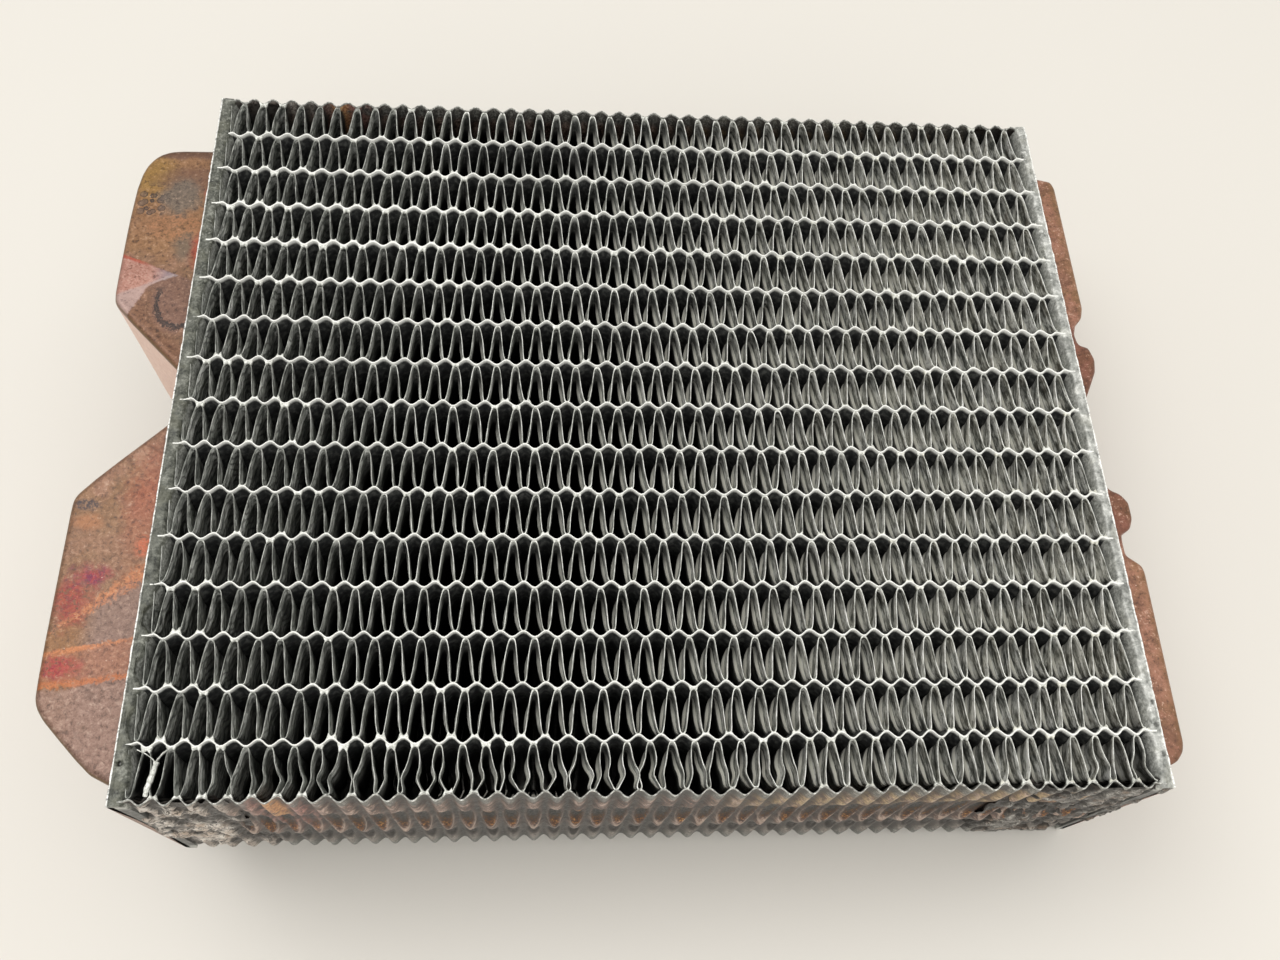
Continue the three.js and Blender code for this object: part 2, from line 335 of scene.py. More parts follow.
def mat_fin():
    g = G("tinned fin sheet")
    d = g.depth()
    away = g.ss(g.m("ABSOLUTE", g.m("ADD", g.x, 20.0)), 8.0, 62.0)
    cell = g.noise(0.42, 1, 0.5, v=g.stretch(1.0, 0.55, 0.03))
    streak = g.noise(1.0, 4, 0.66, 0.7, v=g.stretch(0.45, 0.13, 0.72))
    fine = g.noise(1.5, 4, 0.7, v=g.stretch(1, 0.26, 1.0))
    f = g.m("ADD", g.m("MULTIPLY", streak, 0.55), g.m("MULTIPLY", fine, 0.45))
    # rolling marks that run down each leg
    ph = g.m("ADD", g.m("MULTIPLY", g.z, 2.5), g.m("ADD", g.m("MULTIPLY", streak, 9.0), g.m("MULTIPLY", cell, 30.0)))
    mark = g.m("MULTIPLY", g.ss(g.m("SINE", ph), 0.30, 0.80), away)
    wall = g.ramp(f, [(0.40, (74, 76, 73)), (0.46, (150, 153, 146)), (0.52, (218, 220, 212)), (0.58, (255, 255, 250))])
    wall = g.mix(g.ss(cell, 0.32, 0.62, 0.0, 0.35), wall, (96, 99, 95))
    wall = g.mix(g.m("MULTIPLY", mark, 0.66), wall, (30, 31, 30))
    # painted light: right of the middle the walls take a harsher ramp with deeper darks and brighter highlights, for
    # light falling from the left
    side = g.ss(g.x, -25.0, 30.0)
    hard_painted_light = g.ramp(f, [(0.41, (30, 31, 29)), (0.47, (112, 113, 107)), (0.525, (218, 218, 210)), (0.575, (255, 255, 250))])
    wall = g.mix(g.m("MULTIPLY", side, 0.65), wall, hard_painted_light)
    # grime and pale flux on the right-hand cells
    warm = g.m("MULTIPLY", g.ss(g.x, 0.0, 60.0), g.ss(g.noise(0.16, 3, 0.6), 0.42, 0.6))
    wall = g.mix(g.m("MULTIPLY", warm, 0.22), wall, g.ramp(f, [(0.40, (120, 114, 94)), (0.56, (250, 244, 222))]))
    rust = g.m("MULTIPLY", g.ss(g.x, 60.0, 88.0), g.ss(g.noise(0.45, 3, 0.65), 0.56, 0.7))
    wall = g.mix(g.m("MULTIPLY", rust, 0.5), wall, (96, 80, 62))
    wall = g.mix(g.m("MULTIPLY", g.ss(g.vor(1.1), 0.26, 0.10), 0.6), wall, (30, 30, 28))
    # painted shade on the second bank of legs deeper than about 5 mm, and a painted highlight along its cut edge where
    # it catches light
    shade = g.m("MULTIPLY", g.ss(d, 4.7, 6.2), g.ss(g.x, -45.0, 20.0, 0.15, 0.62))
    wall = g.mix(shade, wall, (34, 35, 33))
    lip = g.m("MULTIPLY", g.ss(d, 4.12, 4.22), g.ss(d, 4.85, 4.45))
    lip = g.m("MULTIPLY", lip, g.ss(g.x, -50.0, 15.0, 0.25, 1.0))
    wall = g.mix(lip, wall, (255, 253, 240))
    edge = g.ramp(fine, [(0.34, (92, 94, 88)), (0.5, (146, 148, 141)), (0.62, (204, 205, 198))])
    edge = g.mix(g.ss(g.x, -66.0, -36.0), edge, g.ramp(fine, [(0.36, (150, 151, 143)), (0.5, (214, 215, 207)), (0.6, (248, 248, 242))]))
    c = g.mix(g.ss(d, 0.5, 0.75), edge, wall)
    # painted shade: the upper part of each cell, under the ribbon above, darkens behind the front edge
    up = g.m("FRACT", g.m("MULTIPLY", g.m("SUBTRACT", g.y, ROW_Y[16]), 1.0 / PITCH))
    roof_painted_shade = g.m("MULTIPLY", g.ss(up, 0.42, 0.86), g.ss(d, 0.7, 2.2))
    roof_painted_shade = g.m("MULTIPLY", roof_painted_shade, g.m("SUBTRACT", 0.82, g.m("MULTIPLY", away, 0.30)))
    c = g.mix(roof_painted_shade, c, (16, 16, 17))
    # painted shade: the walls fade to near black deeper in, sooner away from x = -20
    far_painted_shade = g.m("SUBTRACT", d, g.m("MULTIPLY", away, 5.5))
    c = g.mix(g.ss(far_painted_shade, 3.6, 7.4, 0, 0.97), c, (5, 5, 5))
    # painted shade: cells at the lower left corner are near black behind their front edges
    c = g.mix(g.m("MULTIPLY", g.ss(d, 0.7, 1.6), g.blob(-87.6, -72.5, 2.5, 4.4, None, 1.0, 1.3)), c, (14, 14, 13))
    burnt = g.m("MULTIPLY", g.blob(90.0, -72.0, 4.0, 17.0, g.m("MULTIPLY", g.noise(0.3), 6.0), 1.2, 1.0), g.ss(d, 0.6, 1.2))
    c = g.mix(g.m("MULTIPLY", burnt, 0.72), c, (20, 18, 16))
    # soot film over part of the second and third rows
    soot = g.m("MULTIPLY", g.blob(-25, 61, 10, 24, g.m("MULTIPLY", g.noise(0.2), 14), 1.6, 0.55), 0.45)
    c = g.mix(soot, c, (52, 54, 54))
    return g.done(c, g.ss(f, 0.35, 0.65, 0.36, 0.58), 0.12, f, 0.16)


def mat_solder(name, lo, mid, hi, warm=None, bump=0.12, metal=0.45, rough=(0.32, 0.6), painted_cavity_shade_at=None):
    g = G(name)
    n1 = g.noise(0.55, 4, 0.6, 0.5)
    n2 = g.noise(2.6, 4, 0.62)
    f = g.m("ADD", g.m("MULTIPLY", n1, 0.55), g.m("MULTIPLY", n2, 0.45))
    c = g.ramp(f, [(0.36, lo), (0.5, mid), (0.63, hi)])
    if warm:
        c = g.mix(g.ss(g.noise(0.25, 3), 0.5, 0.66, 0, 0.55), c, warm)
    c = g.mix(g.ss(g.vor(2.2), 0.12, 0.05, 0, 0.5), c, (60, 60, 58))
    # painted shade: dark crevice lines, and darker where the solder surface lies low
    if painted_cavity_shade_at:
        crevice_shade = g.ss(g.m("ABSOLUTE", g.m("SUBTRACT", g.noise(0.42, 3, 0.6, 1.0), 0.5)), 0.050, 0.014)
        c = g.mix(g.m("MULTIPLY", crevice_shade, 0.80), c, (46, 42, 38))
        c = g.mix(g.ss(g.m("ABSOLUTE", g.y), painted_cavity_shade_at + 0.60, painted_cavity_shade_at - 0.10, 0, 0.88), c, (30, 27, 25))
    return g.done(c, g.ss(n2, 0.35, 0.65, rough[0], rough[1]), metal, f, bump)


def mat_web():
    g = G("solder webs")
    n = g.noise(2.2, 3, 0.6)
    c = g.ramp(n, [(0.34, (168, 170, 162)), (0.5, (216, 217, 209)), (0.64, (248, 248, 242))])
    warm = g.m("MULTIPLY", g.ss(g.x, 0.0, 60.0), g.ss(g.noise(0.3, 2), 0.42, 0.6))
    c = g.mix(g.m("MULTIPLY", warm, 0.4), c, (226, 222, 200))
    # painted shade: the webs darken deeper into the cells
    c = g.mix(g.ss(g.depth(), 0.5, 1.2, 0, 0.6), c, (120, 121, 114))
    return g.done(c, g.ss(n, 0.3, 0.7, 0.35, 0.55), 0.12, n, 0.06)


def mat_header():
    g = G("soldered header")
    n1 = g.noise(0.45, 4, 0.6, 0.6)
    n2 = g.noise(2.0, 4, 0.65)
    f = g.m("ADD", g.m("MULTIPLY", n1, 0.5), g.m("MULTIPLY", n2, 0.5))
    c = g.ramp(f, [(0.38, (70, 72, 67)), (0.46, (124, 126, 118)), (0.54, (166, 167, 159)), (0.63, (232, 232, 226))])
    c = g.mix(g.ss(g.noise(0.22, 3), 0.52, 0.66, 0, 0.3), c, (190, 188, 166))
    # painted highlight: bright glints, stronger on the upper part of the header
    glint = g.m("MULTIPLY", g.ss(g.noise(1.6, 3, 0.7), 0.58, 0.66), g.ss(g.y, 10.0, 50.0, 0.2, 0.9))
    c = g.mix(glint, c, (252, 252, 246))
    c = g.mix(g.ss(g.vor(1.1), 0.13, 0.05, 0, 0.65), c, (46, 46, 44))
    # painted shade: each pinhole is coloured near black inside
    for hx, hy in HOLES:
        c = g.mix(g.blob(hx, hy, 0.22, 0.42, sy=1.5), c, (8, 8, 8))
    c = g.mix(g.ss(g.x, 0.0, -10.0), c, g.mix(1.0, c, (152, 153, 147), "MULTIPLY"))
    c = g.mix(g.ss(g.x, 0.0, 10.0, 0, 0.5), c, g.ramp(n1, [(0.36, (134, 135, 131)), (0.55, (200, 201, 197)), (0.66, (228, 228, 224))]))
    c = g.mix(g.ss(g.depth(), 0.5, 1.4, 0, 0.6), c, g.ramp(n2, [(0.38, (150, 152, 144)), (0.6, (236, 237, 230))]))
    # painted shade: the header darkens deeper between the ribbons
    c = g.mix(g.ss(g.depth(), 1.9, 4.6, 0, 0.88), c, (40, 41, 39))
    # painted highlight: a bright line along the header's outer rounded edge
    out = g.m("MULTIPLY", g.ss(g.m("ABSOLUTE", g.x), 93.08, 93.3), g.ss(n2, 0.40, 0.50, 0.25, 1.0))
    c = g.mix(out, c, (252, 252, 247))
    return g.done(c, g.ss(n2, 0.35, 0.65, 0.28, 0.55), 0.3, f, 0.16)


def mat_side(name, sgn):
    g = G(name)
    d = g.depth()
    cx = g.m("SUBTRACT", g.x, TX0 if sgn < 0 else TX0 + WAVE / 2)
    ph = g.m("COSINE", g.m("MULTIPLY", cx, 2 * math.pi / WAVE))          # 1 on the outward bulges
    off = g.m("MULTIPLY", g.m("ARCCOSINE", g.m("MULTIPLY", ph, 0.999)), WAVE / (2 * math.pi))   # mm from a bulge's line
    n1 = g.noise(0.3, 4, 0.6, 0.6)
    n2 = g.noise(1.9, 4, 0.68)
    nn = g.m("ADD", g.m("MULTIPLY", n1, 0.5), g.m("MULTIPLY", n2, 0.5))
    flat = g.ramp(nn, [(0.40, (54, 42, 38)), (0.47, (98, 80, 72)), (0.53, (146, 122, 110)), (0.60, (206, 184, 170))])
    yel = g.m("MULTIPLY", g.ss(g.x, 6.0, 24.0), g.ss(g.noise(0.5, 3), 0.44, 0.56, 0.2, 0.8))
    flat = g.mix(g.m("MULTIPLY", yel, g.ss(g.z, -20.0, -14.0)), flat, g.ramp(n2, [(0.38, (140, 116, 82)), (0.6, (214, 190, 150))]))
    e = g.m("ADD", g.m("POWER", g.m("DIVIDE", off, 1.25), 2.0), g.m("POWER", g.m("DIVIDE", g.m("ABSOLUTE", g.m("ADD", g.z, 20.5)), 8.0), 2.0))
    amber = g.ramp(n2, [(0.34, (30, 18, 11)), (0.47, (80, 49, 27)), (0.56, (136, 88, 48)), (0.66, (214, 168, 104))])
    c = g.mix(g.ss(e, 1.25, 0.85), flat, amber)
    # painted shade: the pocket's centre, over the slit in its floor, is near black
    c = g.mix(g.ss(e, 0.42, 0.14, 0, 0.92), c, (20, 14, 11))
    ringm = g.m("MULTIPLY", g.ss(g.m("ABSOLUTE", g.m("SUBTRACT", e, 1.55)), 0.30, 0.08), g.ss(g.z, -18.0, -23.0))
    c = g.mix(g.m("MULTIPLY", ringm, 0.5), c, (206, 186, 170))
    grey = g.ramp(n2, [(0.3, (84, 82, 78)), (0.5, (132, 128, 122)), (0.7, (184, 180, 172))])
    c = g.mix(g.ss(g.z, -31.0, -35.0, 0, 0.85), c, grey)
    e2 = g.m("ADD", g.m("POWER", g.m("DIVIDE", off, 1.35), 2.0), g.m("POWER", g.m("DIVIDE", g.m("ABSOLUTE", g.m("ADD", g.z, 38.0)), 4.8), 2.0))
    # painted shade: the shallow recess behind each pocket is darkened
    c = g.mix(g.ss(e2, 1.1, 0.5, 0, 0.85), c, (50, 48, 46))
    c = g.mix(g.ss(d, 5.2, 2.6, 0, 0.9), c, g.ramp(n2, [(0.36, (66, 67, 64)), (0.5, (116, 117, 112)), (0.64, (176, 176, 170))]))
    tall = g.m("MULTIPLY", g.y, sgn)
    # painted shade: darker where the strip's surface lies low, between its ribs
    c = g.mix(g.ss(tall, 77.6, 76.9, 0, 0.6), c, (44, 38, 35))
    wob = g.m("MULTIPLY", g.noise(0.12, 3), 26.0)
    crevice_shade = g.ss(g.m("ABSOLUTE", g.m("SUBTRACT", g.noise(0.42, 3, 0.6, 1.0), 0.5)), 0.045, 0.012)
    tan = g.ramp(nn, [(0.36, (120, 108, 98)), (0.46, (182, 168, 156)), (0.56, (214, 204, 194)), (0.66, (240, 234, 226))])
    # painted shade on the pale solder: dark crevice lines, dark pocket centres and rear recesses, and darker low ground
    # between ribs
    tan = g.mix(g.m("MULTIPLY", crevice_shade, 0.85), tan, (46, 42, 38))
    tan = g.mix(g.ss(e, 0.55, 0.25, 0, 0.9), tan, (34, 30, 27))
    tan = g.mix(g.ss(e2, 0.6, 0.3, 0, 0.8), tan, (52, 48, 44))
    tan = g.mix(g.ss(tall, 77.75, 77.0, 0, 0.75), tan, (52, 47, 43))
    c = g.mix(g.ss(g.m("ADD", g.x, wob), -60.0, -65.0, 0, 0.95), c, tan)
    c = g.mix(g.m("MULTIPLY", g.m("MULTIPLY", g.blob(-66.0, sgn * 77, 1.5, 8.0, g.m("MULTIPLY", g.m("SUBTRACT", g.noise(0.16, 3), 0.5), 12.0), sy=30), g.ss(n1, 0.40, 0.55, 0.1, 0.7)), g.ss(g.z, -32.0, -16.0)), c, g.ramp(n2, [(0.36, (112, 70, 62)), (0.6, (206, 150, 140))]))
    hot = g.m("MULTIPLY", g.m("MULTIPLY", g.blob(-67.5, sgn * 77, 0.8, 2.8, sy=30), g.ss(n1, 0.36, 0.50)), g.ss(g.z, -19.0, -12.0))
    c = g.mix(g.m("MULTIPLY", hot, 0.75), c, g.ramp(n2, [(0.35, (150, 86, 60)), (0.5, (206, 150, 96)), (0.65, (236, 200, 140))]))
    line = g.ss(d, 0.62, 0.34)
    c = g.mix(line, c, g.ramp(n2, [(0.36, (112, 113, 108)), (0.48, (160, 160, 154)), (0.58, (208, 208, 201)), (0.66, (240, 240, 234))]))
    c = g.mix(g.ss(g.vor(0.9), 0.12, 0.04, 0, 0.5), c, (52, 40, 32))
    # painted shade: the strip's inner face, towards the fins, darkens behind the front edge
    inner = g.ss(g.m("MULTIPLY", g.y, sgn), 77.0, 76.3)
    c = g.mix(g.m("MULTIPLY", inner, g.ss(d, 1.0, 2.0)), c, (58, 58, 56))
    return g.done(c, g.ss(n2, 0.35, 0.65, 0.36, 0.6), 0.35, nn, 0.14)


def mat_copper(name, which):
    g = G(name)
    w1 = g.noise(0.11, 4, 0.6, 0.8)
    w2 = g.noise(0.35, 4, 0.62, 0.5)
    w3 = g.noise(2.4, 4, 0.7)
    w4 = g.noise(0.7, 3, 0.6, 1.2)
    w5 = g.noise(1.0, 5, 0.72, 0.4)
    mot = g.m("ADD", g.m("MULTIPLY", w5, 0.6), g.m("MULTIPLY", w3, 0.4))
    cen = lambda n, k: g.m("MULTIPLY", g.m("SUBTRACT", n, 0.5), k)
    wob = cen(g.noise(0.22, 3), 14.0)
    w_s = g.m("ADD", cen(g.noise(0.30, 3), 3.0), cen(w5, 2.0))

    def line(f, c0, half, soft, wb=None):
        dd = g.m("SUBTRACT", f, c0)
        if wb is not None:
            dd = g.m("ADD", dd, wb)
        return g.ss(g.m("ABSOLUTE", dd), half, half + soft, 1.0, 0.0)

    def over(m, col, k=1.0):
        nonlocal c
        c = g.mix(g.m("MULTIPLY", m, k), c, col)

    base = g.ramp(g.m("ADD", g.m("MULTIPLY", w2, 0.45), g.m("MULTIPLY", mot, 0.55)),
                  [(0.36, (112, 80, 62)), (0.46, (158, 116, 92)), (0.54, (184, 140, 114)), (0.66, (214, 176, 154))])
    c = g.mix(g.ss(w1, 0.42, 0.6, 0, 0.6), base, g.ramp(mot, [(0.38, (122, 94, 66)), (0.6, (182, 140, 96))]))
    plain = c
    if which == "outlet":
        over(g.ss(g.m("ADD", g.y, wob), 34.0, 40.0), g.ramp(mot, [(0.36, (128, 88, 50)), (0.5, (178, 130, 84)), (0.64, (206, 162, 116))]), 0.7)
        over(g.blob(-106.3, 58.0, 1.5, 7.0, w_s, 1.0, 1.3), g.ramp(mot, [(0.38, (150, 112, 44)), (0.6, (206, 164, 84))]), 0.85)
        over(g.ss(g.m("ADD", g.y, w_s), 62.6, 64.0), (112, 76, 60), 0.8)
        over(g.blob(-98.5, 57.0, 3.0, 6.5, w_s, 1.5, 0.8), (136, 98, 82), 0.6)
        over(g.blob(-100.0, 52.8, 3.0, 6.0, g.m("MULTIPLY", w_s, 1.5), 1.0, 1.05), g.ramp(mot, [(0.38, (104, 94, 84)), (0.6, (156, 142, 128))]), 0.9)
        over(g.blob(-97.4, 39.5, 1.2, 3.6, w_s, 1.0, 1.4), g.ramp(mot, [(0.38, (110, 98, 84)), (0.6, (152, 136, 118))]), 0.8)
        over(g.blob(-93.6, 53.5, 0.8, 2.2, w_s, 1.0, 1.3), (214, 122, 98), 0.8)
        over(g.blob(-94.0, 38.5, 1.0, 3.2, w_s, 1.0, 1.9), g.ramp(mot, [(0.4, (186, 66, 40)), (0.6, (226, 116, 84))]), 0.85)
        # pale wedge left by a splash of flux, and the brown tongue it stops at
        f1 = g.m("ADD", g.m("ADD", g.y, g.m("MULTIPLY", g.x, 0.388)), cen(w4, 1.2))
        f2 = g.m("ADD", g.m("SUBTRACT", g.y, g.m("MULTIPLY", g.x, 0.5)), cen(w4, 1.2))
        f3 = g.m("ADD", g.m("SUBTRACT", g.x, g.m("MULTIPLY", g.y, 0.403)), cen(w4, 1.2))
        inw = g.m("MAXIMUM", g.ss(f2, 80.7, 81.2), g.ss(f3, -115.0, -115.6))
        below = g.ss(f1, -5.6, -6.2)
        over(below, g.ramp(mot, [(0.36, (110, 78, 64)), (0.5, (146, 108, 92)), (0.64, (178, 138, 118))]), 0.9)
        lilac = g.mix(g.ss(g.x, -104.0, -99.0), g.ramp(mot, [(0.38, (176, 116, 98)), (0.5, (214, 158, 142)), (0.62, (236, 192, 180))]), (178, 160, 170))
        over(g.m("MULTIPLY", below, inw), lilac, 0.95)
        rim2 = g.m("MULTIPLY", g.m("MULTIPLY", below, inw), g.m("MULTIPLY", g.ss(f2, 82.0, 81.3), 1.0))
        over(rim2, (214, 196, 194), 0.6)
        over(g.m("MULTIPLY", line(f1, -5.9, 0.15, 0.5), g.ss(g.x, -103.0, -107.0)), (206, 92, 66), 0.85)
        # dried water marks
        lowm = g.m("MULTIPLY", g.ss(g.y, 30.0, 27.0), g.m("SUBTRACT", 1.0, inw))
        dd = g.m("SQRT", g.m("ADD", g.m("POWER", g.m("ABSOLUTE", g.m("ADD", g.x, 96.5)), 2.0), g.m("POWER", g.m("MULTIPLY", g.m("ABSOLUTE", g.m("SUBTRACT", g.y, 25.5)), 0.75), 2.0)))
        dd = g.m("ADD", dd, g.m("ADD", cen(w4, 2.2), cen(w5, 1.2)))
        for r0, k in ((4.5, 0.95), (5.0, 0.85), (6.6, 0.75)):
            over(g.m("MULTIPLY", line(dd, r0, 0.12, 0.22), lowm), (50, 38, 36), k)
        over(g.m("MULTIPLY", g.blob(-99.5, 44.5, 3.0, 5.5, w_s, 1.6, 0.8), g.ss(w5, 0.46, 0.56)), (214, 150, 106), 0.6)
        over(g.m("MULTIPLY", g.ss(dd, 5.0, 6.5), lowm), g.ramp(mot, [(0.38, (122, 82, 58)), (0.6, (186, 136, 98))]), 0.6)
        # ringed grey spots in the upper left
        spot = g.vor(0.55)
        reg = g.m("MULTIPLY", g.blob(-106.0, 51.0, 2.0, 4.6, None, 1.0, 1.5), 1.0)
        over(g.m("MULTIPLY", g.ss(spot, 0.42, 0.3), reg), (104, 94, 92), 0.6)
        over(g.m("MULTIPLY", line(g.m("ADD", spot, cen(w3, 0.2)), 0.42, 0.02, 0.05), reg), (56, 50, 54), 0.9)
        # bright wall under the sloping end: painted light, the pan wall coloured pale as if lit
        wall = g.m("MULTIPLY", g.ss(g.z, -5.0, -5.6), g.ss(g.y, 25.0, 24.2))
    elif which == "inlet":
        over(g.blob(-96.5, -22.0, 1.5, 5.5, g.m("MULTIPLY", w_s, 1.6), 1.0, 3.2), g.ramp(mot, [(0.4, (158, 76, 52)), (0.6, (212, 130, 102))]), 0.7)
        over(g.ss(g.m("ADD", g.y, w_s), -18.0, -30.0), g.ramp(mot, [(0.38, (126, 94, 68)), (0.6, (184, 142, 112))]), 0.5)
        over(g.blob(-106.9, -24.5, 0.8, 2.8, w_s, 1.4, 0.8), (204, 142, 100), 0.7)
        over(g.m("MULTIPLY", g.blob(-107.0, -21.0, 0.8, 2.2, w_s, 1.4, 0.7), g.ss(w3, 0.4, 0.55)), (78, 74, 84), 0.9)
        f = g.m("ADD", g.m("MULTIPLY", g.x, -0.6115), g.m("MULTIPLY", g.y, 0.791))
        fw = g.m("ADD", f, w_s)
        # grey-lilac field under the first heat line
        over(g.m("MULTIPLY", g.ss(fw, 30.5, 29.8), g.ss(g.x, -105.0, -101.0)), g.ramp(mot, [(0.38, (132, 104, 96)), (0.6, (178, 152, 144))]), 0.75)
        over(g.m("MULTIPLY", g.ss(fw, 30.5, 29.8), g.ss(g.x, -103.0, -106.0)), g.ramp(mot, [(0.38, (136, 94, 58)), (0.6, (186, 136, 88))]), 0.75)
        over(g.m("MULTIPLY", g.blob(-106.6, -40.8, 1.5, 4.6, g.m("MULTIPLY", w_s, 1.6), 1.0, 1.5), g.ss(w5, 0.40, 0.50, 0.25, 1.0)), g.ramp(w4, [(0.4, (150, 50, 54)), (0.6, (202, 92, 66))]), 0.9)
        over(g.m("MULTIPLY", g.blob(-104.3, -35.2, 1.1, 3.4, g.m("MULTIPLY", w_s, 1.5), 1.3, 0.95), g.ss(w5, 0.38, 0.48, 0.35, 1.0)), g.ramp(w4, [(0.4, (132, 34, 84)), (0.6, (192, 70, 74))]), 0.95)
        wide = g.ss(g.x, -108.0, -97.0, 0.22, 1.05)
        l1 = g.ss(g.m("DIVIDE", g.m("ABSOLUTE", g.m("ADD", g.m("SUBTRACT", f, 30.6), g.m("ADD", cen(w5, 4.2), cen(w4, 3.4)))), wide), 1.0, 1.9, 1.0, 0.0)
        over(g.m("MULTIPLY", l1, g.m("MULTIPLY", g.ss(w5, 0.40, 0.52, 0.30, 1.0), g.ss(w2, 0.38, 0.52, 0.45, 1.0))), g.ramp(mot, [(0.38, (186, 98, 52)), (0.6, (240, 168, 120))]), 0.85)
        # second heat zone between two lines
        b3 = g.m("ADD", g.m("SUBTRACT", g.y, g.m("MULTIPLY", g.m("ADD", g.x, 109.0), 0.20)), cen(w4, 2.0))
        b2 = g.m("ADD", g.m("SUBTRACT", g.y, g.m("MULTIPLY", g.m("ADD", g.x, 109.0), 0.12)), cen(w4, 2.4))
        over(g.m("MULTIPLY", g.ss(b3, -50.2, -50.8), g.ss(b2, -56.6, -55.9)), g.ramp(mot, [(0.38, (150, 88, 58)), (0.6, (210, 146, 112))]), 0.65)
        over(g.m("MULTIPLY", g.blob(-106.4, -52.6, 1.2, 3.8, g.m("MULTIPLY", w_s, 1.6), 1.35, 0.85), g.ss(w5, 0.40, 0.50, 0.25, 1.0)), g.ramp(w4, [(0.4, (160, 36, 58)), (0.6, (210, 86, 72))]), 0.95)
        over(g.m("MULTIPLY", line(g.m("ADD", b3, cen(w5, 1.4)), -50.3, 0.16, 0.5), g.ss(w2, 0.36, 0.5, 0.35, 1.0)), (232, 150, 98), 0.8)
        over(g.m("MULTIPLY", line(g.m("ADD", b2, cen(w5, 2.0)), -56.2, 0.25, 0.7), g.ss(w4, 0.36, 0.5, 0.3, 1.0)), (222, 130, 72), 0.75)
        over(g.ss(b2, -56.6, -57.6), g.ramp(mot, [(0.36, (130, 98, 84)), (0.5, (172, 138, 124)), (0.64, (208, 180, 168))]), 0.85)
        over(g.ss(g.m("ADD", g.m("ADD", g.m("MULTIPLY", g.x, 0.7), g.m("MULTIPLY", g.y, 0.71)), w_s), -119.0, -123.5), (118, 80, 66), 0.55)
        over(g.ss(w4, 0.55, 0.64), (88, 66, 56), 0.30)
        over(g.m("MULTIPLY", g.blob(-95.6, -29.5, 1.2, 3.0, w_s, 0.8, 1.0), g.ss(w5, 0.42, 0.52)), (226, 120, 82), 0.8)
        over(g.blob(-93.5, -24.5, 0.5, 1.8, w_s, 0.9, 0.7), (118, 104, 108), 0.7)
        # painted light: a faint pale wash on the pan wall below the front face
        wall = g.m("MULTIPLY", g.ss(g.z, -5.0, -5.6), 0.15)
    else:
        over(g.ss(g.m("ADD", g.y, wob), -58.0, -68.0), (132, 96, 72), 0.75)
        over(g.ss(w2, 0.45, 0.62), (196, 142, 118), 0.45)
        over(g.ss(g.x, 97.0, 99.2), (158, 130, 78), 0.35)
        boss = g.m("MULTIPLY", g.ss(g.y, 24.0, 22.0), g.ss(g.y, -30.0, -28.0))
        c = g.mix(boss, g.mix(1.0, c, (216, 206, 204), "MULTIPLY"), g.mix(1.0, c, (184, 162, 164), "MULTIPLY"))
        wall = None
    # the marks end at the fold of the pan: its walls are plainly weathered
    if which != "return":
        over(g.ss(g.m("ADD", g.z, cen(w2, 6.0)), -5.4, -8.5), plain, 0.93)
    # rings left by dried water, and pepper specks
    ring = g.ss(g.m("ABSOLUTE", g.m("SUBTRACT", w4, 0.56)), 0.012, 0.004, 0, 1.0)
    ring = g.m("MULTIPLY", ring, g.ss(g.noise(0.16, 2), 0.5, 0.6))
    over(ring, (84, 66, 60), 0.5)
    over(g.ss(g.vor(1.5), 0.16, 0.07), (100, 60, 44), 0.55)
    over(g.ss(g.vor(0.45), 0.07, 0.04), (240, 206, 188), 0.7)
    # painted shade: the tank darkens next to the header, where it meets the core
    over(g.ss(g.m("ABSOLUTE", g.x), 94.4, 93.6), (134, 104, 88), 0.4)
    over(g.ss(mot, 0.455, 0.385), (62, 42, 36), 0.55)
    over(g.ss(mot, 0.555, 0.63), (244, 212, 192), 0.40)
    if which != "return":
        c = g.mix(1.0, c, (194, 190, 185), "MULTIPLY")
        rimline = g.m("MULTIPLY", g.ss(g.z, -4.85, -4.5), g.ss(g.z, -4.10, -4.3))
        over(rimline, (104, 84, 46), 0.6)
    # painted light: the pan wall below the front face is coloured pale where masked above
    if wall is not None:
        over(wall, g.ramp(mot, [(0.38, (222, 180, 162)), (0.6, (248, 218, 202))]), 0.90)
    return g.done(c, g.ss(w3, 0.35, 0.65, 0.32, 0.52), 0.35, mot, 0.07)


def mat_stub():
    g = G("stub copper")
    w2 = g.noise(0.4, 4, 0.6, 0.4)
    w3 = g.noise(3.0, 3, 0.6, v=g.stretch(1, 1, 0.25))
    f = g.m("ADD", g.m("MULTIPLY", w2, 0.55), g.m("MULTIPLY", w3, 0.45))
    c = g.ramp(f, [(0.35, (122, 82, 62)), (0.5, (172, 120, 92)), (0.65, (206, 158, 126))])
    c = g.mix(g.ss(g.z, -49.5, -46.5, 0, 0.75), c, (176, 172, 164))
    c = g.mix(g.ss(g.vor(0.8), 0.12, 0.05, 0, 0.6), c, (92, 74, 58))
    return g.done(c, g.ss(w3, 0.3, 0.7, 0.3, 0.48), 0.6, f, 0.04)


# small pinholes left in the header solder: x, y
HOLES = [(-92.35, -70.6), (92.75, -62.0), (92.6, -66.2), (92.75, -71.6)]

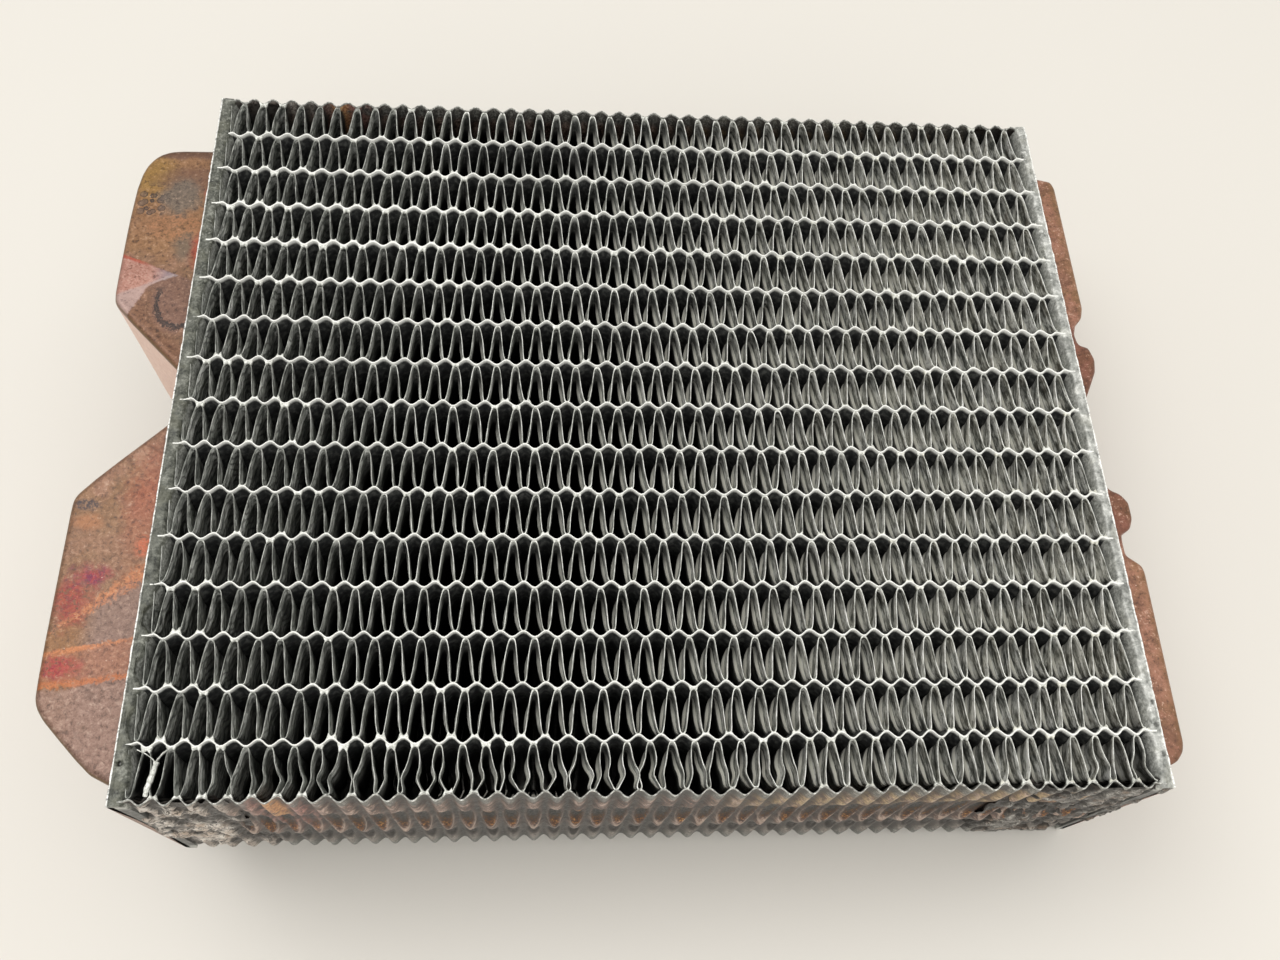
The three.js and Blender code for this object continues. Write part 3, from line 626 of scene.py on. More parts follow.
M_TUBE = mat_tube()
M_FIN = mat_fin()
M_WEB = mat_web()
M_HEAD = mat_header()
M_SIDE_LO = mat_side("side strip lower", -1.0)
M_SIDE_UP = mat_side("side strip upper", 1.0)
M_LUMP_R = mat_solder("corner solder dark", (58, 56, 53), (116, 112, 106), (214, 211, 204), (150, 124, 102), 0.3, 0.45, painted_cavity_shade_at=77.6)
M_LUMP_L = mat_solder("corner solder pale", (136, 127, 117), (212, 203, 193), (246, 240, 232), (176, 150, 126), 0.2, 0.30, painted_cavity_shade_at=77.5)
M_OUT = mat_copper("copper outlet tank", "outlet")
M_IN = mat_copper("copper inlet tank", "inlet")
M_RET = mat_copper("copper return tank", "return")
M_STUB = mat_stub()
M_COLLAR = mat_solder("collar solder", (120, 116, 108), (170, 166, 158), (214, 211, 204), (170, 140, 116), 0.12, 0.4)

# ------------------------------------------------------------------ ribbon lines
AMPS = AMP * (1 + 0.10 * rng.uniform(-1, 1, (17, NW + 3)))
SHIFT = 0.16 * rng.uniform(-1, 1, (17, NW + 3))


def wave(k, x):
    """Height of ribbon k's centreline over its mean, troughs at TROUGH."""
    x = np.asarray(x, float)
    i = (x - TX0) / WAVE + 1.0
    a = np.interp(i, np.arange(NW + 3), AMPS[k])
    sh = np.interp(i, np.arange(NW + 3), SHIFT[k])
    env = sst(x, -91.3, -89.2) * sst(-x, -91.3, -89.4)
    return -a * np.cos(2 * np.pi * (x - TX0 - sh) / WAVE) * env + 0.07 * vn(x / 9.0, k * 3.1, 5)


def trough_x(k, n):
    return TX0 + WAVE * n + np.interp(np.asarray(n) + 1.0, np.arange(NW + 3), SHIFT[k])


PROF = [(0.0, 0.03), (0.03, 0.10), (0.12, 0.16), (0.4, 0.185), (0.85, 0.19), (1.3, 0.28), (1.9, 0.50), (2.7, 0.72), (3.8, 0.85), (14.0, 0.85)]


def half(d):
    """Half thickness of a tube at depth d."""
    return np.interp(d, [p[0] for p in PROF], [p[1] for p in PROF])


def tube(k):
    xs = np.linspace(-92.0, 92.3, 45 * 8 + 1)
    ds = [p[0] for p in PROF] + [25.0] + [DEPTH - p[0] for p in PROF[::-1]]
    ds = np.array([d for i, d in enumerate(ds)])
    # leave out middle samples at the rear, where little is seen
    keep = np.ones(len(ds), bool)
    keep[[12, 14, 17]] = False
    ds = ds[keep]
    loop_d = np.concatenate([ds, ds[-2:0:-1]])
    sgn = np.concatenate([np.full(len(ds), -1.0), np.full(len(ds) - 2, 1.0)])
    near = np.minimum(loop_d, DEPTH - loop_d)
    h = half(near)
    X = np.repeat(xs[:, None], len(loop_d), 1)
    thick = 1 + 0.24 * fbm(X / 2.1, k * 7.7 + loop_d[None, :] * 0.0, 31)
    thick = thick + 0.55 * np.exp(-((X + 55) / 34) ** 2 - ((ROW_Y[k] - 43) / 17) ** 2) + 0.30 * sst(X, 40, 80)
    H = h[None, :] * np.where(near < 1.6, thick, 1.0)
    yc = ROW_Y[k] + wave(k, X) + 0.10 * vn(X / 5.0, loop_d[None, :] / 6.0 + k * 9, 41) * sst(loop_d, 1, 6)[None, :]
    Y = yc + sgn[None, :] * H
    dz = 0.14 * fbm(X / 3.3, k * 5.3 + 0 * X, 77) * np.where(near < 1.0, 1.0, 0.0)[None, :]
    Z = -loop_d[None, :] + dz - 0.02
    Z = np.where(loop_d[None, :] > 25, -loop_d[None, :] + 0.02 - dz, Z)
    nv = len(loop_d)
    parts = [(np.stack([X, Y, Z], -1), grid(len(xs), nv, close_v=True, flip=True))]
    return parts


for k in range(1, 16):
    mesh("tube_%02d" % k, tube(k), M_TUBE, ["water_tube_%02d" % k])

# ------------------------------------------------------------------ fins
S_T = np.array([0, .008, .03, .08, .2, .42, .66, .86, .95, .985, 1.0])
W_T = np.array([0, .22, .42, .60, .80, 1.05, 1.24, 1.42, 1.58, 1.76, 2.055])
S_KINK = np.array([0, .008, .03, .08, .2, .34, .48, .60, .70, .80, .90, .955, .985])
S_PTS = np.array([0.0, .008, .03, .08, .2, .42, .66, .86, .95, .985])      # the leg's end is the next leg's start


def width(s):
    return np.interp(s, S_T, W_T)


def fin(k):
    """Folded strip between ribbon k (above) and k+1 (below)."""
    last = k == 15
    sp = S_KINK if last else S_PTS
    r = np.random.RandomState(100 + k)
    lean = 0.10 * r.uniform(-1, 1, NW + 2) + 0.12 * vn(np.arange(NW + 2) / 5.0, k * 2.3, 9)
    if k == 0:
        lean += -0.25 * sst(np.arange(NW + 2), 6, 0)
    dw = 0.16 * r.uniform(-1, 1, (NW + 2, 2))
    kink = np.zeros((NW + 2, 2))
    if last:
        for n in range(NW):
            if 3 <= n <= 27:
                kink[n] = r.uniform(0.35, 1.05, 2) * r.choice([-1, 1], 2, p=[0.3, 0.7]) * (1 if n < 22 else 0.6)
            elif n < 3:
                kink[n] = (0.1, -0.1) if n else (0.0, -0.35)
            elif n > 38:
                kink[n] = r.uniform(-0.9, 0.9, 2)
            else:
                kink[n] = r.uniform(-0.2, 0.3, 2)
    first = 0
    px, ps, pk, pn = [], [], [], []
    # opening leg, coming down beside the left header
    x0 = TROUGH[first] - WAVE / 2
    for s in sp[2:]:
        px.append(x0 - (2.055 - width(s)) * (0.60 if first == 0 else 0.75)); ps.append(s); pk.append(0.0); pn.append(first)
    for n in range(first, NW):
        tx = trough_x(k, n)
        bl = trough_x(k + 1, n) - WAVE / 2
        br = trough_x(k + 1, n) + WAVE / 2
        for side, dirn in ((-1, 1), (1, -1)):
            ss_ = np.append(sp, 1.0)[::-1][:-1] if side < 0 else sp
            for s in ss_:
                w = width(s) + dw[n, 0 if side < 0 else 1] * math.sin(math.pi * s)
                x = tx + side * w
                end = (bl - (tx - WAVE / 2)) if side < 0 else (br - (tx + WAVE / 2))
                x += end * s ** 2 + lean[n] * math.sin(math.pi * s)
                kk = kink[n, 0 if side < 0 else 1]
                x += kk * math.exp(-((s - 0.68) / 0.19) ** 2)
                px.append(x); ps.append(s); pk.append(kk); pn.append(n)
    xe = TROUGH[-1] + WAVE / 2
    px.append(xe); ps.append(1.0); pk.append(0.0); pn.append(NW - 1)
    px, ps, pn = np.array(px), np.array(ps), np.array(pn)
    top0 = ROW_Y[k] - AMP - 0.02
    bot0 = ROW_Y[k + 1] + AMP + 0.02

    def at(d, dx):
        """Centreline at depth d, moved by dx mid-leg."""
        near = min(d, DEPTH - d)
        h = half(near) - 0.10
        t, b = top0 - h, bot0 + h
        y = b + (1 - ps) * (t - b)
        x = px + dx * np.sin(np.pi * np.clip(ps, 0, 1)) ** 0.6
        return x, y

    def offset(x, y, t):
        tx_, ty_ = np.gradient(x), np.gradient(y)
        L = np.hypot(tx_, ty_) + 1e-9
        return x - ty_ / L * t, y + tx_ / L * t

    fat = 1 + 1.5 * np.exp(-(ps / 0.05) ** 2) + 1.2 * np.exp(-((1 - ps) / 0.045) ** 2)
    ripple = 0.07 * vn(pn * 3.7, k, 3) + 0.06

    def solid(rows):
        """rows: (depth, half thickness, dx) from one free edge to the other; closed round both edges."""
        V = []
        order = [(1, i) for i in range(len(rows))] + [(-1, i) for i in range(len(rows) - 1, -1, -1)]
        for sgn, i in order:
            d, t, dx = rows[i][:3]
            rp = rows[i][3] if len(rows[i]) > 3 else 0.0
            x, y = at(d, dx)
            x = x + rp * ripple * np.sin(np.pi * ps)
            front = np.exp(-min(d, DEPTH - d) / 1.2)
            x, y = offset(x, y, sgn * t * (1 + (fat - 1) * front))
            jig = 0.10 * vn(x / 2.5, y / 2.0 + k, 61) if min(d, DEPTH - d) < 0.6 else 0.0
            V.append(np.stack([x, y, np.full(len(x), -d) - (0.42 * math.exp(-min(d, DEPTH - d) / 1.5) - jig) * (1 if d < 25 else -1)], -1))
        V = np.array(V)
        return (V, grid(len(order), len(px), close_u=True))

    parts = [solid([(0.02, 0.03, 0), (0.08, 0.062, 0), (0.40, 0.066, 0), (0.95, 0.07, 0, -0.6), (1.75, 0.08, 0, 1), (3.1, 0.08, 0, -1), (4.2, 0.08, 0.0, -0.5),
                    (4.34, 0.10, -0.52), (5.6, 0.09, -0.50, 0.6), (7.0, 0.08, -0.50, -0.6), (9.0, 0.08, -0.46, 0.6), (12.0, 0.08, -0.36), (15.0, 0.08, -0.2)])]
    sheet = []
    for d in (15.2, 28.0, 41.0):
        x, y = at(d, 0.22)
        sheet.append(np.stack([x, y, np.full(len(x), -d)], -1))
    parts.append((np.array(sheet), grid(3, len(px))))
    parts.append(solid([(41.6, 0.08, -0.3), (45.6, 0.08, -0.3), (45.8, 0.08, 0), (49.5, 0.08, 0), (49.93, 0.06, 0)]))
    return parts


for k in range(16):
    mesh("fin_%02d" % (k + 1), fin(k), M_FIN, ["fin_strip_%02d" % (k + 1)])

# ------------------------------------------------------------------ solder webs at the fold tips


def web_patch(cx, cy, up, size, seed, rear=False):
    """A small fillet under a ribbon's trough (up=1) or over its crest (up=-1), filling the fold's tip."""
    r = np.random.RandomState(seed)
    u = np.linspace(-1, 1, 7)[:, None]
    v = np.linspace(0, 1, 5)[None, :]
    uu = u + 0 * v
    L = size * (0.38 + 0.62 * np.abs(uu) ** 1.6)
    wtop = 0.80 + 0.25 * size
    wbot = 0.40 + 0.22 * size
    x = cx + uu * (wtop * (1 - v) ** 1.6 + wbot * (1 - (1 - v) ** 1.6)) + r.uniform(-0.05, 0.05, uu.shape)
    lift = 0.62 * (1 - np.cos(2 * np.pi * np.clip((x - cx) / WAVE, -0.5, 0.5))) * 0.5 * 2 * (1 - v)
    y = cy + up * (lift - L * v) + r.uniform(-0.04, 0.04, uu.shape)
    bulge = 0.10 * (1 - uu ** 2) * (1 - (2 * v - 1) ** 2)
    zf = -0.16 - 0.35 * v * (1 - np.abs(uu)) + bulge + r.uniform(-0.03, 0.03, uu.shape)
    zb = -1.1 - 0.3 * v + 0 * uu
    if rear:
        zf, zb = -DEPTH - zf, -DEPTH - zb
    F = np.stack([x, y, zf], -1).reshape(-1, 3)
    B = np.stack([x, y, zb], -1).reshape(-1, 3)
    V = np.concatenate([F, B])
    q = grid(7, 5)
    n = 35
    rim = [i * 5 for i in range(7)] + [6 * 5 + j for j in range(1, 5)] + [i * 5 + 4 for i in range(5, -1, -1)] + [j for j in range(3, 0, -1)]
    rim = np.array(rim)
    nxt = np.roll(rim, -1)
    walls = np.stack([rim, nxt, nxt + n, rim + n], -1)
    Q = np.concatenate([q[:, ::-1], q + n, walls])
    if (up < 0) != rear:
        Q = Q[:, ::-1]
    return V, Q


def web_chance(k, x, y, up):
    """How much solder the dipping left here, 0..1."""
    c = 0.10
    c += 0.95 * math.exp(-((x + 55) / 34) ** 2 - ((y - 43) / 17) ** 2)          # upper left
    c += 0.35 * math.exp(-((x + 0) / 40) ** 2 - ((y - 38) / 13) ** 2)
    c += 0.80 * math.exp(-((x + 48) / 30) ** 2 - ((y + 66) / 8) ** 2)           # lower left
    c += 0.35 * math.exp(-((x + 84) / 12) ** 2)
    c += 0.30 * sst(x, 35, 70) * (1.0 if up < 0 else 0.55)
    c += 0.5 * math.exp(-((y + 73) / 4.0) ** 2)
    c += 0.45 * float(vn(x / 14.0, y / 12.0, 55))
    return c


for k in range(17):
    parts = []
    for n in range(NW):
        tx = float(trough_x(k, n))
        ty = ROW_Y[k] + float(wave(k, tx))
        r1, r2, r3, r4 = rng.uniform(0, 1, 4)
        if k < 16:      # tip of a fold of strip k+1, hanging under the trough
            p = web_chance(k, tx, ty, 1)
            if r1 < p:
                parts.append(web_patch(tx, ty - 0.10, 1, 0.34 + 0.75 * r2 * min(1.1, p + 0.15), 9000 + k * 100 + n))
        if k > 0:       # foot of a fold of strip k, standing on the crest
            cx = tx + WAVE / 2
            cy = ROW_Y[k] + float(wave(k, cx))
            p = web_chance(k, cx, cy, -1)
            if r3 < p + 0.12:
                parts.append(web_patch(cx, cy + 0.10, -1, 0.30 + 0.66 * r4 * min(1.1, p + 0.15), 19000 + k * 100 + n))
        if 0 < k < 16 and r2 < 0.3:
            parts.append(web_patch(tx, ty - 0.10, 1, 0.5 + 0.7 * r3, 29000 + k * 100 + n, rear=True))
    if parts:
        mesh("solder_webs_%02d" % (k + 1), parts, M_WEB)

# ------------------------------------------------------------------ side strips


def side_strip(k, sgn):
    xs = np.linspace(-92.6, 92.9, 46 * 12 + 1)
    zs = np.concatenate([-np.array([0.0, 0.04, 0.16, 0.5, 1.0, 1.8, 3.0, 5.0, 8.0, 10.0, 11.5, 12.7, 14.0, 15.5, 17.5, 20.0, 22.5, 24.8, 26.6, 28.0, 29.2, 30.2, 31.2, 32.3, 33.4, 34.6, 36.0, 38.0, 40.0, 41.6, 43.0, 44.4, 46.6, 48.6, 49.5, 49.86, 49.97])])
    X, Z = np.meshgrid(xs, zs, indexing="ij")
    near = np.minimum(-Z, DEPTH + Z)
    base = ROW_Y[k] + (wave(k, X) if sgn < 0 else -wave(k, X) * -1.0)
    ph = np.cos(2 * np.pi * (X - TX0) / WAVE)
    # outward bulge at each trough below, at each crest above
    dent = 0.12 * fbm(X / 3.0, Z / 4.0 + k, 91) * sst(near, 1.0, 4.0) + 0.25 * fbm(X / 17.0, Z / 15.0 + k, 92) * sst(near, 2, 6)
    dent = dent + 0.55 * fbm(X / 2.0, Z / 3.4 + k, 93) * sst(near, 0.8, 3.0) * sst(-X, 58, 68)
    i = np.round((X - TX0 - (0 if sgn < 0 else WAVE / 2)) / WAVE)
    cx = TX0 + (0 if sgn < 0 else WAVE / 2) + i * WAVE
    vary = 1 + 0.25 * vn(i * 1.7, k + 0 * i, 94)
    # round pocket at mid depth, a slit in its floor, a raised lip round its rear end, and a shallow recess behind it
    u = (X - cx) / 1.25
    e = u ** 2 + ((Z + 20.5 + 0.8 * (vary - 1)) / (8.0 * vary)) ** 2
    press = 1.10 * sst(e, 1.25, 0.30) + 0.55 * np.exp(-((X - cx) / 0.35) ** 2) * sst(e, 0.5, 0.1)
    lip = np.exp(-((np.sqrt(e) - 1.2) / 0.16) ** 2) * sst(Z, -17.0, -23.0)
    e2 = ((X - cx) / 1.35) ** 2 + ((Z + 38.0) / (4.8 * vary)) ** 2
    press = press + 0.85 * sst(e2, 1.15, 0.35)
    out = base + sgn * (-press + 0.32 * lip + dent)
    t = np.interp(near, [0, 0.04, 0.16, 0.5, 50], [0.03, 0.09, 0.14, 0.16, 0.18])
    Yo = out + sgn * t
    Yi = out - sgn * t
    jz = 0.12 * fbm(X / 3.1, k + 0 * X, 12) * np.exp(-near / 0.5)
    Zj = Z + np.where(Z > -25, jz - 0.02, -jz + 0.02)
    A = np.stack([X, Yo, Zj], -1)
    B = np.stack([X, Yi, Zj], -1)[:, ::-1]
    V = np.concatenate([A, B], 1)
    return [(V, grid(len(xs), V.shape[1], close_v=True, flip=sgn < 0))]


mesh("side_lower", side_strip(16, -1.0), M_SIDE_LO, ["side_strip_lower"])
mesh("side_upper", side_strip(0, 1.0), M_SIDE_UP, ["side_strip_upper"])

# ------------------------------------------------------------------ headers


def header(s):
    """s=-1 left, +1 right. A plate with its front and rear edges buried in lumpy solder."""
    ys = np.arange(-77.75, 77.76, 0.45)
    for hx, hy in HOLES:
        if hx * s > 0:
            ys = np.append(ys, hy + np.array([-0.55, -0.36, -0.18, 0, 0.18, 0.36, 0.55]))
    ys = np.unique(np.round(ys, 3))
    if s < 0:
        inner, o0 = 91.4, 93.5
    else:
        inner, o0 = 92.0, 93.5
    wdt = o0 - inner
    f = np.array([0.02, 0.0, 0.02, 0.09, 0.18, 0.30, 0.42, 0.54, 0.66, 0.78, 0.89, 1.0, 1.12, 1.26, 1.40, 1.50])
    zz = np.array([-1.6, -0.7, -0.20, -0.02, -0.05, -0.16, -0.13, -0.08, -0.06, -0.08, -0.16, -0.42, -1.0, -2.2, -4.0, -6.5])
    fx = o0 - f * wdt
    X, Y, Z = [], [], []
    row = (ys - ROW_Y[16]) / PITCH
    to_line = np.abs(row - np.round(row)) * PITCH
    gap = np.zeros(len(ys))
    if s < 0:
        for kk, a in ((12, 1.1), (13, 1.05), (14, 0.5), (5, 0.3), (8, 0.25)):
            yc = ROW_Y[kk] - PITCH * 0.62
            gap += a * np.exp(-((ys - yc) / 2.0) ** 4)
        gap -= 0.40 * sst(ys, -46, -36) + 0.95 * np.exp(-((ys + 72.6) / 3.4) ** 4)
    else:
        gap -= 0.45 + 0.35 * np.exp(-((ys + 72.0) / 5.0) ** 4)
    for j in range(len(f)):
        lump = 0.16 * fbm(ys / 2.2, j * 0.45, 200 + int(s)) + 0.12 * vn(ys / 0.8, j * 0.8, 210) + 0.10 * vn(ys / 0.7, j * 1.1, 211) * sst(ys, 10, 45)
        x = fx[j] + 0 * ys
        inw = sst(f[j], 0.5, 1.0)
        x = x - inw * (0.24 * fbm(ys / 3.5, 3.0, 220 + int(s)) + 0.62 * np.exp(-(to_line / 0.75) ** 2)) + inw * gap
        if f[j] < 0.1:
            x = x + 0.06 * vn(ys / 1.3, 0.0, 230)
        z = zz[j] + lump * (1.0 if -0.6 < zz[j] else 0.3)
        for hx, hy in HOLES:
            if hx * s > 0:
                d = np.hypot(s * x - hx, (ys - hy) / 1.4)
                z = z - 1.1 * np.exp(-(d / 0.30) ** 4)
        X.append(s * x); Y.append(ys); Z.append(np.minimum(z, 0.0))
    fx_r = [13, 12, 11, 10, 8, 5, 3, 1, 0]
    for j in fx_r:
        lump = 0.16 * fbm(ys / 2.2, j * 0.45 + 40, 240 + int(s))
        x = fx[j] - sst(f[j], 0.5, 1.0) * 0.25 * fbm(ys / 3.5, 9.0, 250)
        X.append(s * x); Y.append(ys); Z.append(np.maximum(-DEPTH - zz[j] - lump, -DEPTH))
    for zc in (-DEPTH + 1.6, -1.6):
        X.append(np.full(len(ys), s * (o0 - 1.02 if s < 0 else o0 - 0.82))); Y.append(ys); Z.append(np.full(len(ys), zc))
    V = np.stack([np.array(X), np.array(Y), np.array(Z)], -1)
    nu, nv = V.shape[:2]
    faces = [grid(nu, nv, close_u=True, flip=s > 0)]
    parts = [(V, faces)]
    # end caps
    for e in (0, nv - 1):
        ring = V[:, e]
        c = ring.mean(0)
        cap = np.concatenate([ring, c[None]])
        idx = np.arange(nu)
        tri = np.stack([idx, np.roll(idx, -1), np.full(nu, nu)], -1)
        parts.append((cap, tri if (e == 0) == (s < 0) else tri[:, ::-1]))
    return parts


mesh("header_left", header(-1), M_HEAD, ["header_plate_left"])
mesh("header_right", header(1), M_HEAD, ["header_plate_right"])

# ------------------------------------------------------------------ tanks
UPPER_TANK = [[-90, 66.0], [-96.8, 65.9], [-101.2, 65.8], [-103.95, 65.45], [-106.0, 64.5], [-107.35, 63.2], [-108.55, 61.15], [-109.25, 58.85], [-109.8, 54.7], [-109.95, 50.6], [-110.08, 46.5], [-110.12, 42.5], [-110.12, 30.9], [-110.05, 27.1], [-109.8, 25.4], [-109.0, 24.0], [-104.75, 19.4], [-95.5, 9.8], [-90, 4.1]]
LOWER_TANK = [[-90, -1.8], [-93.6, -1.8], [-98.3, -6.6], [-102.7, -11.0], [-106.85, -15.35], [-109.7, -18.7], [-110.2, -20.0], [-110.3, -22.4], [-110.3, -47.5], [-110.2, -54.8], [-110.05, -58.4], [-109.5, -59.95], [-108.1, -62.0], [-104.7, -65.6], [-101.3, -69.1], [-98.5, -71.7], [-95.14, -73.4], [-90, -74.8]]
_RT = [[90, 66.0], [95.94, 64.8], [98.62, 64.19], [99.5, 62.13], [99.17, 28.37], [98.4, 25.74], [96.62, 23.85], [95.88, 21.34], [96.27, 18.75], [98.42, 18.02], [99.45, 14.9], [98.73, 11.89], [96.04, 6.58], [94.9, 4.6], [94.9, -15.2], [95.94, -16.6], [97.83, -17.41], [99.23, -19.4], [99.27, -23.03], [98.29, -25.3], [96.15, -26.48], [96.0, -28.6], [96.05, -31.11], [97.37, -32.07], [98.94, -33.32], [99.25, -34.88], [98.9, -68.96], [98.4, -70.6], [97.1, -72.22], [95.76, -72.9], [90, -74.4]]
RETURN_TANK = [[min(x + (0.35 if x > 92 else 0.0), 99.6), y] for x, y in _RT]


def resample(pts, step, soft):
    """Even points along a polyline, corners eased by a short moving average."""
    p = np.array(pts, float)
    seg = np.hypot(*(p[1:] - p[:-1]).T)
    L = np.concatenate([[0], np.cumsum(seg)])
    n = int(L[-1] / 0.25)
    t = np.linspace(0, L[-1], n)
    q = np.stack([np.interp(t, L, p[:, 0]), np.interp(t, L, p[:, 1])], -1)
    w = max(1, int(soft / 0.25))
    ker = np.hanning(2 * w + 3)[1:-1]
    ker /= ker.sum()
    pad = np.concatenate([2 * q[0] - q[w:0:-1], q, 2 * q[-1] - q[-2:-w - 2:-1]])
    q2 = np.stack([np.convolve(pad[:, 0], ker, "valid"), np.convolve(pad[:, 1], ker, "valid")], -1)
    m = int(L[-1] / step)
    i = np.linspace(0, len(q2) - 1, m)
    return np.stack([np.interp(i, np.arange(len(q2)), q2[:, 0]), np.interp(i, np.arange(len(q2)), q2[:, 1])], -1)


def seg_dist(P, line):
    a, b = line[:-1], line[1:]
    ab = b - a
    d = np.full(len(P), 1e9)
    for i in range(len(a)):
        t = np.clip(((P - a[i]) @ ab[i]) / (ab[i] @ ab[i] + 1e-12), 0, 1)
        d = np.minimum(d, np.hypot(*(P - a[i] - t[:, None] * ab[i]).T))
    return d


def tank(outline, pan_x, y_lo, y_hi, s, R, zf=-4.0, zb=-46.0, stub=None, seed=0, rim=0.3, soft=1.6):
    line = resample(outline, 0.55, soft)
    line = line[(line[:, 0] * s > pan_x - 0.4)]
    n = len(line)
    yb = np.linspace(line[0, 1], line[-1, 1], n) * 0.35 + line[:, 1] * 0.65
    yb[0], yb[-1] = line[0, 1], line[-1, 1]
    yb = np.clip(yb, min(line[0, 1], line[-1, 1]), max(line[0, 1], line[-1, 1]))
    base = np.stack([np.full(n, s * (pan_x - 0.2)), yb], -1)
    width_ = np.hypot(*(line - base).T)
    rr = np.concatenate([[0, 0.012, 0.03, 0.055, 0.085, 0.12, 0.17, 0.23, 0.31], np.linspace(0.4, 1.0, 9)])

    def face(z0, sgn_out, hole):
        P = line[:, None, :] * (1 - rr[None, :, None]) + base[:, None, :] * rr[None, :, None]
        d = seg_dist(P.reshape(-1, 2), line).reshape(n, len(rr))
        dd = np.clip(d, 0, R)
        drop = R - np.sqrt(np.maximum(R * R - (R - dd) ** 2, 0))
        bead = rim * np.exp(-((d - (R + 0.4)) / 0.9) ** 2) - 0.35 * rim * sst(d, R + 1.5, R + 3.5)
        und = 0.16 * fbm(P[..., 0] / 7.0, P[..., 1] / 8.0, seed) * sst(d, 0.5, 3.0)
        z = z0 + sgn_out * (-drop + bead + und)
        V = np.concatenate([P, z[..., None]], -1)
        q = grid(n, len(rr))
        if hole is not None:
            hx, hy, hr = hole
            rad = np.hypot(V[..., 0] - hx, V[..., 1] - hy).reshape(-1)
            inside = rad < hr
            q = q[~inside[q].all(1)]
            flat = V.reshape(-1, 3)
            used = np.unique(q)
            mv = used[rad[used] < hr]
            dirn = np.stack([flat[mv, 0] - hx, flat[mv, 1] - hy], -1)
            dirn /= np.hypot(*dirn.T)[:, None] + 1e-9
            flat[mv, 0] = hx + dirn[:, 0] * hr
            flat[mv, 1] = hy + dirn[:, 1] * hr
            V = flat.reshape(V.shape)
        return V, q, z[:, 0]

    flipf = (s < 0)
    Vf, qf, z_front = face(zf, 1.0, None)
    Vb, qb, z_back = face(zb, -1.0, (stub[0], stub[1], 6.0) if stub else None)
    parts = [(Vf, qf if flipf else qf[:, ::-1]), (Vb, qb[:, ::-1] if flipf else qb)]
    ts = np.linspace(0, 1, 15)
    zw = z_front[:, None] * (1 - ts) + z_back[:, None] * ts
    nrm = np.stack([np.gradient(line[:, 1]), -np.gradient(line[:, 0])], -1)
    nrm /= np.hypot(*nrm.T)[:, None] + 1e-9
    if (nrm[n // 2, 0] * s) < 0:
        nrm = -nrm
    al = np.cumsum(np.concatenate([[0], np.hypot(*(line[1:] - line[:-1]).T)]))
    bow = 0.14 * fbm(al[:, None] / 9.0, zw / 9.0, seed + 5) * np.sin(np.pi * ts)[None, :] ** 0.5
    bow = bow - 0.06 * np.sin(np.pi * ts)[None, :]
    W = np.stack([line[:, None, 0] + nrm[:, None, 0] * bow, line[:, None, 1] + nrm[:, None, 1] * bow, zw], -1)
    parts.append((W, grid(n, 15, flip=flipf)))
    # the pan's flat plate against the header, with turned edges at front and rear
    ys = np.arange(y_lo, y_hi + 0.01, 1.2)
    ys[-1] = y_hi
    prof = [(pan_x - 0.0, -1.4), (pan_x + 0.93, -0.9), (pan_x + 1.0, -1.3), (pan_x + 1.0, -3.0), (pan_x + 0.97, -25.0), (pan_x + 1.0, -47.0), (pan_x + 1.0, -48.7), (pan_x + 0.93, -49.1), (pan_x, -48.6)]
    prof = np.array(prof)
    X = s * (prof[:, 0][:, None] + 0 * ys)
    Zp = prof[:, 1][:, None] + 0.05 * vn(ys / 3.0, prof[:, 1][:, None] / 5.0, seed + 9)
    Y = ys[None, :] + 0 * X
    V = np.stack([X, Y, Zp], -1)
    parts.append((V, grid(len(prof), len(ys), close_u=True, flip=(s > 0))))
    for e in (0, len(ys) - 1):
        ring = V[:, e]
        cap = np.concatenate([ring, ring.mean(0)[None]])
        idx = np.arange(len(prof))
        parts.append((cap, np.stack([idx, np.roll(idx, -1), np.full(len(prof), len(prof))], -1)))
    return parts


SPLIT = -1.5
OUT_C, IN_C = (-101.0, 34.0), (-101.2, -38.0)
mesh("outlet_tank_shell", tank(UPPER_TANK, 92.5, SPLIT + 0.15, 77.75, -1, 1.0, stub=OUT_C, seed=301, rim=0.10, soft=1.0), M_OUT, ["outlet_tank"])
mesh("inlet_tank_shell", tank(LOWER_TANK, 92.5, -77.75, SPLIT - 0.15, -1, 1.0, stub=IN_C, seed=302, rim=0.10, soft=1.0), M_IN, ["inlet_tank"])
mesh("return_tank_shell", tank(RETURN_TANK, 92.7 - 0.2, -77.75, 77.75, 1, 1.0, zf=-3.5, seed=303, rim=0.15, soft=0.9), M_RET, ["return_tank"])

# ------------------------------------------------------------------ stubs and collars


def lathe(cx, cy, prof, n=56, wob=0.0, seed=0, close=True):
    a = np.linspace(0, 2 * np.pi, n, endpoint=False)
    prof = np.array(prof)
    R = prof[:, 0][:, None] + wob * fbm(a / 0.5, prof[:, 1][:, None] / 1.5, seed) * np.sin(a / 2) ** 2 * 1.4
    Z = prof[:, 1][:, None] + wob * 0.6 * fbm(a / 0.7 + 9, prof[:, 0][:, None], seed + 1) * np.sin(a / 2) ** 2
    V = np.stack([cx + R * np.cos(a), cy + R * np.sin(a), Z + 0 * R], -1)
    return [(V, grid(len(prof), n, close_u=close, close_v=True))]


